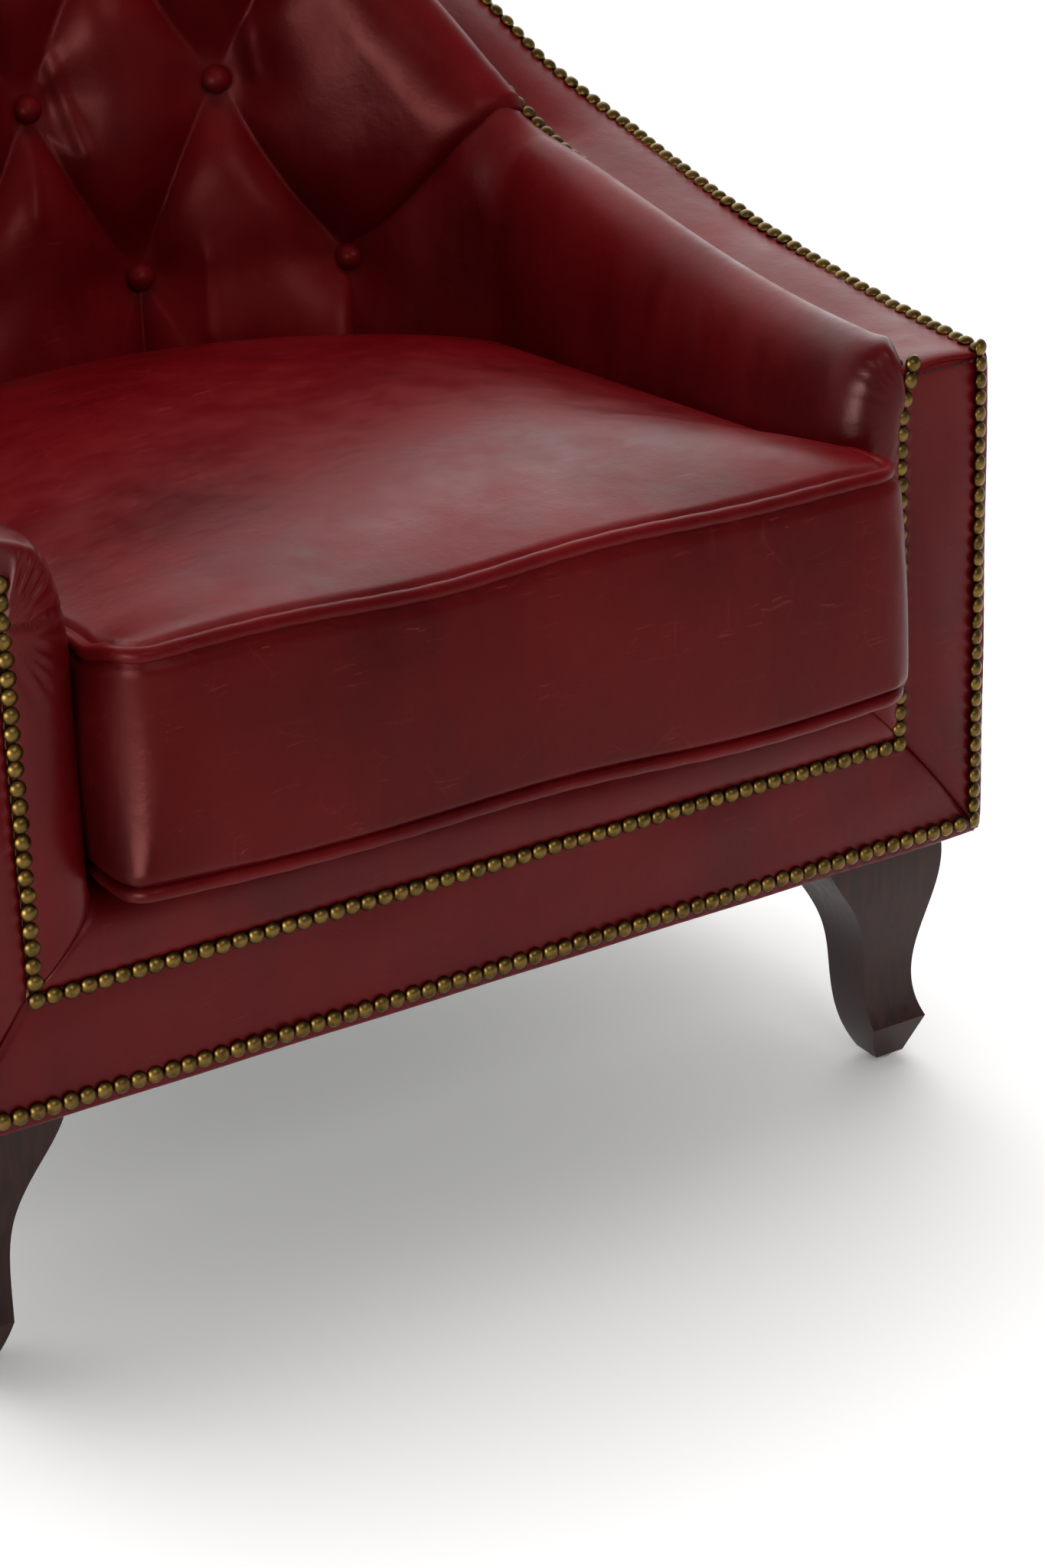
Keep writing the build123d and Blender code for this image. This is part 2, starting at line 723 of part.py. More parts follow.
with BuildPart() as cushion_core:
    extrude(cushion_outline(boxing_thickness + 1.0, 1.0 + boxing_thickness + fit),
            amount=cushion_thickness - 2 * boxing_thickness - 2.0, dir=cushion_plane.z_dir)

with BuildPart() as cushion_top_panel:
    base = cushion_thickness - boxing_thickness - 1.0 + fit
    loft([cushion_outline(base, seam_clear), cushion_outline(cushion_thickness + welt_radius, seam_clear + 3.0),
          cushion_outline(cushion_thickness + cushion_crown * 0.7, seam_clear + crown_step),
          cushion_outline(cushion_thickness + cushion_crown, seam_clear + crown_inset)], ruled=True)

with BuildPart() as cushion_bottom_panel:
    loft([cushion_outline(-welt_radius, seam_clear + 4.0),
          cushion_outline(boxing_thickness + 1.0 - fit, seam_clear)], ruled=True)

# Seat deck: the padded platform under the cushion, its top parallel to the cushion
with BuildPart() as seat_deck:
    deck = tub_outline(level(deck_base), pad_inner + deck_gap, lip_depth + fit - slant(deck_base), 4.0)
    extrude(deck, amount=lip_top, dir=(0, lean, 1))
    split(bisect_by=cushion_plane.offset(-welt_radius - fit - 0.1), keep=Keep.BOTTOM)

# Corner blocks glued and screwed inside the base, with a hole for each leg bolt
bolt_x = half_width - leg_inset - leg_top / 2
bolt_y = front_y + leg_setback + leg_top / 2
rear_spot = plan_point(rear_leg_inset, rear_leg_angle)
rear_x = rear_spot[0]
rear_leg_y = front_y + rear_spot[1] + slant(base_height)
bolt_hole = bolt_diameter / 2 + fit

with BuildPart() as right_blocks:
    post_x = half_width - frame_inner
    rail_y = front_y + band_thickness + rail_thickness
    post_y = front_y + band_thickness + post_depth
    side_x = half_width - frame_outer - rail_thickness
    with BuildSketch(Plane.XY.offset(base_height)):
        with BuildLine():
            Polyline((post_x, rail_y), (post_x, post_y), (side_x, post_y), (side_x, post_y + block_reach),
                     (side_x - (post_y + block_reach - rail_y), rail_y), close=True)
        make_face()
        with Locations((bolt_x, bolt_y)):
            Circle(bolt_hole, mode=Mode.SUBTRACT)
    extrude(amount=block_height)
    inset = frame_outer + back_rail_depth + fit
    spread = degrees(block_reach / (back_radius - rear_leg_inset)) / 2
    block = back_sector(base_height, inset, inset + block_reach, rear_leg_angle - spread, rear_leg_angle + spread)
    extrude(block, amount=block_height * lean_length, dir=(0, lean, 1))
    with Locations((rear_x, rear_leg_y, base_height)):
        Cylinder(bolt_hole, block_height, align=(Align.CENTER, Align.CENTER, Align.MIN), mode=Mode.SUBTRACT)

with BuildPart() as corner_blocks:
    add(right_blocks.part)
    mirror(right_blocks.part, about=Plane.YZ)

# Leg bolts with their nuts on top of the blocks
with BuildPart() as leg_bolts:
    for x, y in ((bolt_x, bolt_y), (rear_x, rear_leg_y)):
        with Locations((x, y, base_height - bolt_embed), (-x, y, base_height - bolt_embed)):
            Cylinder(bolt_diameter / 2, bolt_embed + block_height + nut_height,
                     align=(Align.CENTER, Align.CENTER, Align.MIN))
        with Locations((x, y, base_height + block_height), (-x, y, base_height + block_height)):
            Cylinder(nut_diameter / 2, nut_height, align=(Align.CENTER, Align.CENTER, Align.MIN))


# Sawn outline of a front leg; outward is +1 or -1 along the plane's first axis
def leg_outline(plane, inner, outward):
    def at(reach, height):
        return (inner + outward * reach, height)

    with BuildSketch(plane) as outline:
        with BuildLine():
            Line(at(0, base_height), at(leg_top, base_height))
            Spline(at(leg_top, base_height), at(leg_top + knee_proud, base_height - knee_drop),
                   at(ankle_offset + ankle_width, ankle_height), at(toe_reach, toe_height))
            Line(at(toe_reach, toe_height), at(foot_offset + foot_width, glide_height))
            Line(at(foot_offset + foot_width, glide_height), at(foot_offset, glide_height))
            Spline(at(foot_offset, glide_height), at(ankle_offset, ankle_height),
                   at(hollow_depth, base_height - hollow_drop), at(brow_depth, base_height - brow_drop),
                   at(ear_depth, base_height - ear_drop), at(0, base_height))
        make_face()
    return outline.sketch


leg_inner_x = half_width - leg_inset - leg_top
leg_inner_y = front_y + leg_setback + leg_top
foot_x = leg_inner_x + foot_offset + foot_width / 2
foot_y = leg_inner_y - foot_offset - foot_width / 2

with BuildPart() as right_front_leg:
    extrude(leg_outline(Plane.XZ, leg_inner_x, 1), amount=chair_depth, both=True)
    extrude(leg_outline(Plane.YZ, leg_inner_y, -1), amount=chair_width, both=True, mode=Mode.INTERSECT)
    with Locations((bolt_x, bolt_y, base_height)):
        Cylinder(bolt_hole, bolt_embed + fit, align=(Align.CENTER, Align.CENTER, Align.MAX), mode=Mode.SUBTRACT)

with BuildPart() as right_rear_leg:
    half_top = rear_leg_top / 2
    half_foot = rear_leg_foot / 2
    middle = (base_height + glide_height) / 2
    foot_rear_y = rear_leg_y + rear_leg_sweep
    half_waist = (half_top + half_foot) / 2
    waist_y = rear_leg_y + rear_leg_sweep * 0.32
    with BuildSketch(Plane.YZ):
        with BuildLine():
            Line((rear_leg_y - half_top, base_height), (rear_leg_y + half_top, base_height))
            ThreePointArc((rear_leg_y + half_top, base_height), (waist_y + half_waist, middle),
                          (foot_rear_y + half_foot, glide_height))
            Line((foot_rear_y + half_foot, glide_height), (foot_rear_y - half_foot, glide_height))
            ThreePointArc((foot_rear_y - half_foot, glide_height), (waist_y - half_waist, middle),
                          (rear_leg_y - half_top, base_height))
        make_face()
    extrude(amount=chair_width, both=True)
    with BuildSketch(Plane.XZ):
        with BuildLine():
            Polyline((rear_x - half_top, base_height), (rear_x + half_top, base_height),
                     (rear_x + half_foot, glide_height), (rear_x - half_foot, glide_height), close=True)
        make_face()
    extrude(amount=chair_depth, both=True, mode=Mode.INTERSECT)
    with Locations((rear_x, rear_leg_y, base_height)):
        Cylinder(bolt_hole, bolt_embed + fit, align=(Align.CENTER, Align.CENTER, Align.MAX), mode=Mode.SUBTRACT)

# Plastic glides nailed under the feet
with BuildPart() as foot_glides:
    for x, y in ((foot_x, foot_y), (rear_x, foot_rear_y)):
        with Locations((x, y, 0), (-x, y, 0)):
            Cylinder(glide_diameter / 2, glide_height, align=(Align.CENTER, Align.CENTER, Align.MIN))

# Dust cover stapled under the rails, notched round the legs
with BuildPart() as dust_cover:
    cover = tub_outline(level(band_base), dust_cover_inset, band_thickness + 2.0 - slant(band_base), 4.0)
    extrude(cover, amount=dust_cover_thickness)
    with BuildSketch(Plane.XY.offset(band_base)):
        for side in (1, -1):
            with Locations((side * (leg_inner_x + leg_top / 2), leg_inner_y - leg_top / 2)):
                Rectangle(leg_top + 2 * knee_proud + 2, leg_top + 2 * knee_proud + 2)
            with Locations((side * rear_x, rear_leg_y)):
                Rectangle(rear_leg_top + 2, rear_leg_top + 4)
    extrude(amount=dust_cover_thickness, mode=Mode.SUBTRACT)

# Left-hand pieces are mirror images of the right-hand ones
with BuildPart() as left_side_rail:
    mirror(right_side_rail.part, about=Plane.YZ)
with BuildPart() as left_arm_post:
    mirror(right_arm_post.part, about=Plane.YZ)
with BuildPart() as left_arm_rail:
    mirror(right_arm_rail.part, about=Plane.YZ)
with BuildPart() as left_back_post:
    mirror(right_back_post.part, about=Plane.YZ)
with BuildPart() as left_stay_rail:
    mirror(right_stay_rail.part, about=Plane.YZ)
with BuildPart() as left_outside_arm:
    mirror(right_outside_arm.part, about=Plane.YZ)
with BuildPart() as left_arm_band:
    mirror(right_arm_band.part, about=Plane.YZ)
with BuildPart() as left_top_band:
    mirror(right_top_band.part, about=Plane.YZ)
with BuildPart() as left_inside_arm:
    mirror(right_inside_arm.part, about=Plane.YZ)
with BuildPart() as left_front_leg:
    mirror(right_front_leg.part, about=Plane.YZ)
with BuildPart() as left_rear_leg:
    mirror(right_rear_leg.part, about=Plane.YZ)

pieces = {
    "front_rail": front_rail,
    "left_side_rail": left_side_rail,
    "right_side_rail": right_side_rail,
    "back_rail": back_rail,
    "left_arm_post": left_arm_post,
    "right_arm_post": right_arm_post,
    "left_arm_rail": left_arm_rail,
    "right_arm_rail": right_arm_rail,
    "crest_rail": crest_rail,
    "left_back_post": left_back_post,
    "right_back_post": right_back_post,
    "left_stay_rail": left_stay_rail,
    "right_stay_rail": right_stay_rail,
    "back_stay_rail": back_stay_rail,
    "corner_blocks": corner_blocks,
    "seat_webbing": seat_webbing,
    "cross_webbing": cross_webbing,
    "back_webbing": back_webbing,
    "seat_deck": seat_deck,
    "front_roll": front_roll,
    "left_inside_arm": left_inside_arm,
    "right_inside_arm": right_inside_arm,
    "inside_back": inside_back,
    "back_buttons": back_buttons,
    "left_outside_arm": left_outside_arm,
    "right_outside_arm": right_outside_arm,
    "outside_back": outside_back,
    "front_band": front_band,
    "left_arm_band": left_arm_band,
    "right_arm_band": right_arm_band,
    "left_top_band": left_top_band,
    "right_top_band": right_top_band,
    "dust_cover": dust_cover,
    "left_front_leg": left_front_leg,
    "right_front_leg": right_front_leg,
    "left_rear_leg": left_rear_leg,
    "right_rear_leg": right_rear_leg,
    "leg_bolts": leg_bolts,
    "foot_glides": foot_glides,
    "cushion_core": cushion_core,
    "cushion_boxing": cushion_boxing,
    "cushion_top_panel": cushion_top_panel,
    "cushion_bottom_panel": cushion_bottom_panel,
    "cushion_top_welt": cushion_top_welt,
    "cushion_bottom_welt": cushion_bottom_welt,
}
for name, piece in pieces.items():
    piece.part.label = name
    export_step(piece.part, f"parts/{name}.step")
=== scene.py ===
import math

import bpy
import numpy as np
from mathutils import Matrix, Vector


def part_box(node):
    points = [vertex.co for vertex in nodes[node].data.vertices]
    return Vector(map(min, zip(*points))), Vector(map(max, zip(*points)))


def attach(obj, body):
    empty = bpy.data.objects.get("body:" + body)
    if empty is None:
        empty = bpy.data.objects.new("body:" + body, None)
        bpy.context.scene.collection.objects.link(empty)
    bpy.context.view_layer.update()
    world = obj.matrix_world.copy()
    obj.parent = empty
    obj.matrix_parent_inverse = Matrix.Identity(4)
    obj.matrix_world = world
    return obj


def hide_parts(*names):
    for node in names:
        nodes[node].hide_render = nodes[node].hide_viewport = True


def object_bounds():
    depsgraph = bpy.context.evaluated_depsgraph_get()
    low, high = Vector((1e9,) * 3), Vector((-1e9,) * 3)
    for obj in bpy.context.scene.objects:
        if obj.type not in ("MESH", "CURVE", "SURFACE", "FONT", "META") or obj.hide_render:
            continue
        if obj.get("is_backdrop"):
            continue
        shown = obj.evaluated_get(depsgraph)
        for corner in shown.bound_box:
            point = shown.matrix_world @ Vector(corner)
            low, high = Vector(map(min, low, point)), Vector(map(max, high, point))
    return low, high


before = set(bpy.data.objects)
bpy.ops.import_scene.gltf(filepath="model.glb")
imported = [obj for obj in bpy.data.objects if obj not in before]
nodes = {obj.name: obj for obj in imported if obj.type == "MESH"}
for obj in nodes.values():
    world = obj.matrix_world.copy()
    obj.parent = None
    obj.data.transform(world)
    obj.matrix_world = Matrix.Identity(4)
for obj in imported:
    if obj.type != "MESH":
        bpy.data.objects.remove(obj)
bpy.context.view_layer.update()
rng = np.random.default_rng(7)
print("frame loaded,", len(nodes), "nodes")

# The chair's walls in plan and side view, in metres, as the wooden frame sets them out
wall = {
    "halfWidth": 0.378, "backRadius": 0.400, "cornerRadius": 0.180, "backCentre": 0.288,
    "lean": math.tan(math.radians(6.0)), "datum": 0.431, "front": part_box("front_band")[0].y,
    "bandWidth": 0.068, "armTop": 0.517, "shoulderRise": 0.058, "crest": 0.852,
    "shoulderSlope": math.radians(14.5), "tightRadius": 0.175, "riseSlope": math.radians(44.0),
    "bandBase": 0.1832, "mitreTop": 0.268, "padBase": 0.2683, "padInset": 0.1153,
}
cornerX = wall["halfWidth"] - wall["cornerRadius"]
cornerY = wall["backCentre"] + math.sqrt((wall["backRadius"] - wall["cornerRadius"]) ** 2 - cornerX**2)
junction = math.atan2(cornerX, cornerY - wall["backCentre"])
shoulder = wall["armTop"] + wall["shoulderRise"]
bandMiddle = wall["bandWidth"] / 2


def slant(z):
    return wall["lean"] * (z - wall["datum"])


armRun = cornerY + slant(shoulder)
cornerEnd = armRun + (wall["cornerRadius"] - bandMiddle) * (math.pi / 2 - junction)
halfRun = cornerEnd + (wall["backRadius"] - bandMiddle) * junction


# Point of the wall: run along the band from the right front, inset from outside, height
def wallPoint(run, inset, z):
    run, inset, z = np.broadcast_arrays(np.asarray(run, float), inset, z)
    left = run > halfRun
    t = np.where(left, 2 * halfRun - run, run)
    lean = slant(z)
    share = np.clip(t / armRun, 0, 1)
    turn = (t - armRun) / (wall["cornerRadius"] - bandMiddle)
    angle = junction - (t - cornerEnd) / (wall["backRadius"] - bandMiddle)
    onArm, onBack = t <= armRun, t > cornerEnd
    bend = wall["cornerRadius"] - inset
    rear = wall["backRadius"] - inset
    bentX = np.where(onBack, rear * np.sin(angle), cornerX + bend * np.cos(turn))
    bentY = np.where(onBack, wall["backCentre"] + rear * np.cos(angle), cornerY + bend * np.sin(turn))
    x = np.where(onArm, wall["halfWidth"] - inset, bentX)
    y = np.where(onArm, t + (lean - slant(shoulder)) * share**2, bentY + lean)
    return np.stack([np.where(left, -x, x), y + wall["front"], z], -1)


# Height of the swooping top edge: shallow arc, tight arc, straight rise, crest arc
def swoop(run):
    run = np.asarray(run, float)
    s = np.where(run > halfRun, 2 * halfRun - run, run)
    end, steep, tight = wall["shoulderSlope"], wall["riseSlope"], wall["tightRadius"]
    chord = math.atan2(wall["shoulderRise"], armRun)
    radius = math.hypot(armRun, wall["shoulderRise"]) / 2 / math.sin(end - chord)
    start = 2 * chord - end
    a = np.minimum(s, armRun) + radius * math.sin(start)
    low = wall["armTop"] + radius * math.cos(start) - np.sqrt(radius**2 - a**2)
    tightRun = tight * (math.sin(steep) - math.sin(end))
    tightRise = tight * (math.cos(end) - math.cos(steep))
    b = np.clip(s - armRun, 0, tightRun) + tight * math.sin(end)
    middle = shoulder + tight * math.cos(end) - np.sqrt(tight**2 - b**2)
    leftRun = halfRun - armRun - tightRun
    leftRise = wall["crest"] - shoulder - tightRise
    share = (1 - math.cos(steep)) / math.sin(steep)
    straight = (leftRise - leftRun * share) / (math.tan(steep) - share)
    t = s - armRun - tightRun
    crestRadius = (leftRun - straight) / math.sin(steep)
    c = np.clip(halfRun - s, 0, leftRun - straight)
    high = wall["crest"] - crestRadius + np.sqrt(crestRadius**2 - c**2)
    rising = shoulder + tightRise + t * math.tan(steep)
    upper = np.where(t <= straight, rising, high)
    return np.where(s <= armRun, low, np.where(s <= armRun + tightRun, middle, upper))


# Run along the band of a point of the back, by its angle from the rear centre
def runOfAngle(angle):
    return cornerEnd + (wall["backRadius"] - bandMiddle) * (junction - angle)


def smooth(x, low, high):
    t = np.clip((x - low) / (high - low), 0, 1)
    return t * t * (3 - 2 * t)


# Quiet unevenness of hand-stretched leather, from a few crossed waves
def uneven(a, b, size, seed=0):
    k = 2 * math.pi / size
    return (np.sin(k * (a + 0.31 * b) + seed) + np.sin(k * (0.83 * b - 0.47 * a) * 1.31 + 2.1 * seed + 1.0)
            + np.sin(k * (0.9 * a + 0.8 * b) * 0.63 + 0.7 * seed + 4.0)) / 3


def deselect():
    if bpy.context.mode != "OBJECT":
        bpy.ops.object.mode_set(mode="OBJECT")
    bpy.ops.object.select_all(action="DESELECT")


def makeActive(piece):
    deselect()
    piece.select_set(True)
    bpy.context.view_layer.objects.active = piece


def readPoints(piece):
    co = np.zeros(len(piece.data.vertices) * 3)
    piece.data.vertices.foreach_get("co", co)
    return co.reshape(-1, 3)


def writePoints(piece, points):
    piece.data.vertices.foreach_set("co", np.asarray(points, float).ravel())
    piece.data.update()


# Even out a grid's points where the mask asks for it, with the border held
def relax(points, columns, mask, rounds):
    grid = points.reshape(-1, columns + 1, 3).copy()
    amount = mask.reshape(-1, columns + 1, 1)[1:-1, 1:-1]
    for _ in range(rounds):
        around = (grid[:-2, 1:-1] + grid[2:, 1:-1] + grid[1:-1, :-2] + grid[1:-1, 2:]) / 4
        grid[1:-1, 1:-1] += 0.5 * amount * (around - grid[1:-1, 1:-1])
    return grid.reshape(-1, 3)


# A grid laid out by a rule of its two shares, each 0 to 1
def addSheet(name, columns, rows, rule):
    deselect()
    bpy.ops.mesh.primitive_grid_add(x_subdivisions=columns, y_subdivisions=rows, size=1)
    piece = bpy.context.active_object
    piece.name = piece.data.name = name
    flat = readPoints(piece)
    writePoints(piece, rule(flat[:, 0] + 0.5, flat[:, 1] + 0.5))
    return piece


# Edit-mode steps on the whole of a piece, each an operator with its settings
def editAll(piece, *steps):
    makeActive(piece)
    bpy.ops.object.mode_set(mode="EDIT")
    bpy.ops.mesh.select_all(action="SELECT")
    for operator, settings in steps:
        operator(**settings)
    bpy.ops.object.mode_set(mode="OBJECT")


# Faces turned to the side they should show
def faceTowards(piece, direction):
    total = Vector((0, 0, 0))
    for f in piece.data.polygons:
        total += f.normal * f.area
    if total.dot(Vector(direction)) <= 0:
        editAll(piece, (bpy.ops.mesh.flip_normals, {}))


def useModifier(piece, kind, **settings):
    makeActive(piece)
    m = piece.modifiers.new(kind.title(), kind)
    for key, value in settings.items():
        setattr(m, key, value)
    bpy.ops.object.modifier_apply(modifier=m.name)


# Thickness behind a sheet; a hidden backing may be thinned out to a share of its faces
def closeSheet(piece, thickness, backing=None):
    shell = piece.vertex_groups.new(name="shell")
    useModifier(piece, "SOLIDIFY", thickness=thickness, offset=-1.0, use_even_offset=False,
                shell_vertex_group="shell")
    if backing:
        makeActive(piece)
        bpy.ops.object.mode_set(mode="EDIT")
        bpy.ops.mesh.select_all(action="DESELECT")
        piece.vertex_groups.active_index = shell.index
        bpy.ops.object.vertex_group_select()
        bpy.ops.mesh.decimate(ratio=backing)
        bpy.ops.object.mode_set(mode="OBJECT")
    piece.vertex_groups.clear()
    piece.data.shade_smooth()


def mergeDoubles(piece, distance):
    editAll(piece, (bpy.ops.mesh.remove_doubles, {"threshold": distance}),
            (bpy.ops.mesh.normals_make_consistent, {"inside": False}))


def copied(piece):
    twin = piece.copy()
    twin.data = piece.data.copy()
    bpy.context.scene.collection.objects.link(twin)
    return twin


def mirrored(piece, name):
    twin = copied(piece)
    twin.name = twin.data.name = name
    writePoints(twin, readPoints(twin) * (-1, 1, 1))
    editAll(twin, (bpy.ops.mesh.flip_normals, {}))
    return twin


# A ball with its lower part cut off at a height of its radius, then pressed to its real size
def addDome(segments, rings, cut, radius, height):
    deselect()
    bpy.ops.mesh.primitive_uv_sphere_add(segments=segments, ring_count=rings, radius=1)
    dome = bpy.context.active_object
    editAll(dome, (bpy.ops.mesh.bisect, {"plane_co": (0, 0, cut), "plane_no": (0, 0, 1),
                                         "clear_inner": True, "use_fill": True}))
    dome.data.transform(Matrix.Diagonal((radius, radius, height, 1)))
    dome.data.shade_smooth()
    return dome


def joinPieces(pieces, name):
    deselect()
    for p in pieces:
        p.select_set(True)
    bpy.context.view_layer.objects.active = pieces[0]
    bpy.ops.object.join()
    joined = bpy.context.active_object
    joined.name = joined.data.name = name
    return joined


# Materials


def hexColour(text):
    parts = [int(text[i:i + 2], 16) / 255 for i in (1, 3, 5)]
    return [*[c / 12.92 if c <= 0.04045 else ((c + 0.055) / 1.055) ** 2.4 for c in parts], 1.0]


# A node with its settings, its values or links, and a ramp's stops as hex colours or shares of white
def addNode(tree, kind, inputs=None, stops=(), **settings):
    node = tree.nodes.new(kind)
    for key, value in settings.items():
        setattr(node, key, value)
    for key, value in (inputs or {}).items():
        socket = node.inputs[key]
        if isinstance(value, bpy.types.NodeSocket):
            tree.links.new(value, socket)
        else:
            socket.default_value = value
    if stops:
        elements = node.color_ramp.elements
        while len(elements) < len(stops):
            elements.new(0.5)
        for element, (place, colour) in zip(elements, stops):
            element.position = place
            element.color = hexColour(colour) if isinstance(colour, str) else (colour, colour, colour, 1)
    return node


def newMaterial(name, **sockets):
    material = bpy.data.materials.new(name)
    material.use_nodes = True
    tree = material.node_tree
    shader = tree.nodes["Principled BSDF"]
    for key, value in sockets.items():
        shader.inputs[key.replace("_", " ")].default_value = value
    return material, tree, shader


leather = {
    "deep": "#380204", "body": "#520408", "worn": "#600a0e", "scratch": "#7c2c2e", "paintedShade": "#2c0404",
    "sheen": "#ffcfcb", "warmSheen": "#ff9f98", "paintedShadeShare": 0.28, "roughLow": 0.30, "roughHigh": 0.44,
    "cloudSize": 0.15, "patchSize": 0.040, "patchShare": 0.30, "upright": (1.0, 1.0, 0.3),
    "creaseSize": 0.045, "bendSize": 0.03, "bend": 0.012, "scratchLength": 0.05, "scratchWidth": 0.0022,
    "scratchTurns": ((0.3, 0.5, 0.7), (1.1, -0.4, 2.0)), "grainSize": 0.0024, "grainDepth": 0.0006,
    "handleSize": 0.014, "handleDepth": 0.003,
}


# Waxed aniline cowhide, oxblood: clouded dye under a soft wax shine, with fine pale scuffs.
# The real grain is about 1 mm; it is drawn at 2.4 mm so that it shows at all.
def makeLeather(name, offset, scuffs, sheen="sheen", shadeMask=None):
    material, tree, shader = newMaterial(name, IOR=1.30, Specular_Tint=hexColour(leather[sheen]))
    coord = addNode(tree, "ShaderNodeTexCoord").outputs["Object"]
    place = addNode(tree, "ShaderNodeMapping", {"Vector": coord, "Location": offset}).outputs["Vector"]

    # clouded dye, with patches drawn out upright
    clouds = addNode(tree, "ShaderNodeTexNoise",
                     {"Vector": place, "Scale": 1 / leather["cloudSize"], "Detail": 4.0, "Roughness": 0.55})
    drawnOut = addNode(tree, "ShaderNodeMapping", {"Vector": place, "Scale": leather["upright"]})
    patches = addNode(tree, "ShaderNodeTexNoise", {"Vector": drawnOut.outputs["Vector"], "Detail": 5.0,
                                                   "Scale": 1 / leather["patchSize"], "Roughness": 0.6})
    mixed = addNode(tree, "ShaderNodeMix", {"Factor": leather["patchShare"], "A": clouds.outputs["Fac"],
                                            "B": patches.outputs["Fac"]}, data_type="FLOAT")
    dye = addNode(tree, "ShaderNodeValToRGB", {"Fac": mixed.outputs["Result"]},
                  [(0.28, leather["deep"]), (0.50, leather["body"]), (0.72, leather["worn"])])
    tone = dye.outputs["Color"]
    # painted shade: where the named attribute is set, the dye is mixed towards a dark red, for faces that
    # catch little light
    if shadeMask:
        strip = addNode(tree, "ShaderNodeAttribute", attribute_name=shadeMask)
        share = addNode(tree, "ShaderNodeMath", {0: strip.outputs["Fac"], 1: leather["paintedShadeShare"]},
                        operation="MULTIPLY")
        shaded = addNode(tree, "ShaderNodeMix", {"Factor": share.outputs["Value"], "A": tone,
                                                 "B": hexColour(leather["paintedShade"])}, data_type="RGBA")
        tone = shaded.outputs["Result"]

    # creases and scratches, only where the hide was rubbed
    bent = addNode(tree, "ShaderNodeTexNoise",
                   {"Vector": place, "Scale": 1 / leather["bendSize"], "Detail": 3.0})
    shifted = addNode(tree, "ShaderNodeMix", {"Factor": leather["bend"], "A": place,
                                              "B": bent.outputs["Color"]}, data_type="VECTOR")
    lines = addNode(tree, "ShaderNodeTexVoronoi",
                    {"Vector": shifted.outputs["Result"], "Scale": 1 / leather["creaseSize"]},
                    feature="DISTANCE_TO_EDGE")
    marks = addNode(tree, "ShaderNodeValToRGB", {"Fac": lines.outputs["Distance"]},
                    [(0.0, 0.3), (0.010, 0.1), (0.025, 0.0)]).outputs["Color"]
    narrow = 1 / leather["scratchWidth"]
    for turn in leather["scratchTurns"]:
        lay = addNode(tree, "ShaderNodeMapping",
                      {"Vector": shifted.outputs["Result"], "Rotation": turn,
                       "Scale": (1 / leather["scratchLength"], narrow, narrow)})
        stroke = addNode(tree, "ShaderNodeTexNoise",
                         {"Vector": lay.outputs["Vector"], "Scale": 1.0, "Detail": 1.0})
        fine = addNode(tree, "ShaderNodeValToRGB", {"Fac": stroke.outputs["Fac"]}, [(0.68, 0.0), (0.76, 0.8)])
        marks = addNode(tree, "ShaderNodeMath", {0: marks, 1: fine.outputs["Color"]},
                        operation="MAXIMUM").outputs["Value"]
    where = addNode(tree, "ShaderNodeValToRGB", {"Fac": bent.outputs["Fac"]}, [(0.48, 0.0), (0.66, 1.0)])
    wearAndShade = addNode(tree, "ShaderNodeMath", {0: marks, 1: where.outputs["Color"]}, operation="MULTIPLY")
    amount = addNode(tree, "ShaderNodeMath", {0: wearAndShade.outputs["Value"], 1: scuffs}, operation="MULTIPLY")
    colour = addNode(tree, "ShaderNodeMix", {"Factor": amount.outputs["Value"], "A": tone,
                                             "B": hexColour(leather["scratch"])}, data_type="RGBA")
    tree.links.new(colour.outputs["Result"], shader.inputs["Base Color"])

    # uneven wax, fine grain and the soft handle of the hide
    gloss = addNode(tree, "ShaderNodeValToRGB", {"Fac": patches.outputs["Fac"]},
                    [(0.32, leather["roughLow"]), (0.68, leather["roughHigh"])])
    tree.links.new(gloss.outputs["Color"], shader.inputs["Roughness"])
    grain = addNode(tree, "ShaderNodeTexVoronoi", {"Vector": place, "Scale": 1 / leather["grainSize"]})
    handle = addNode(tree, "ShaderNodeTexNoise",
                     {"Vector": place, "Scale": 1 / leather["handleSize"], "Detail": 3.0})
    fine = addNode(tree, "ShaderNodeBump", {"Height": grain.outputs["Distance"], "Strength": 0.05,
                                            "Distance": leather["grainDepth"]})
    soft = addNode(tree, "ShaderNodeBump", {"Height": handle.outputs["Fac"], "Strength": 0.10,
                                            "Distance": leather["handleDepth"],
                                            "Normal": fine.outputs["Normal"]})
    tree.links.new(soft.outputs["Normal"], shader.inputs["Normal"])
    return material


brass = {"shadedRim": "#33260f", "dark": "#4a3a1c", "light": "#70592d", "rough": 0.36, "tarnishSize": 0.006}
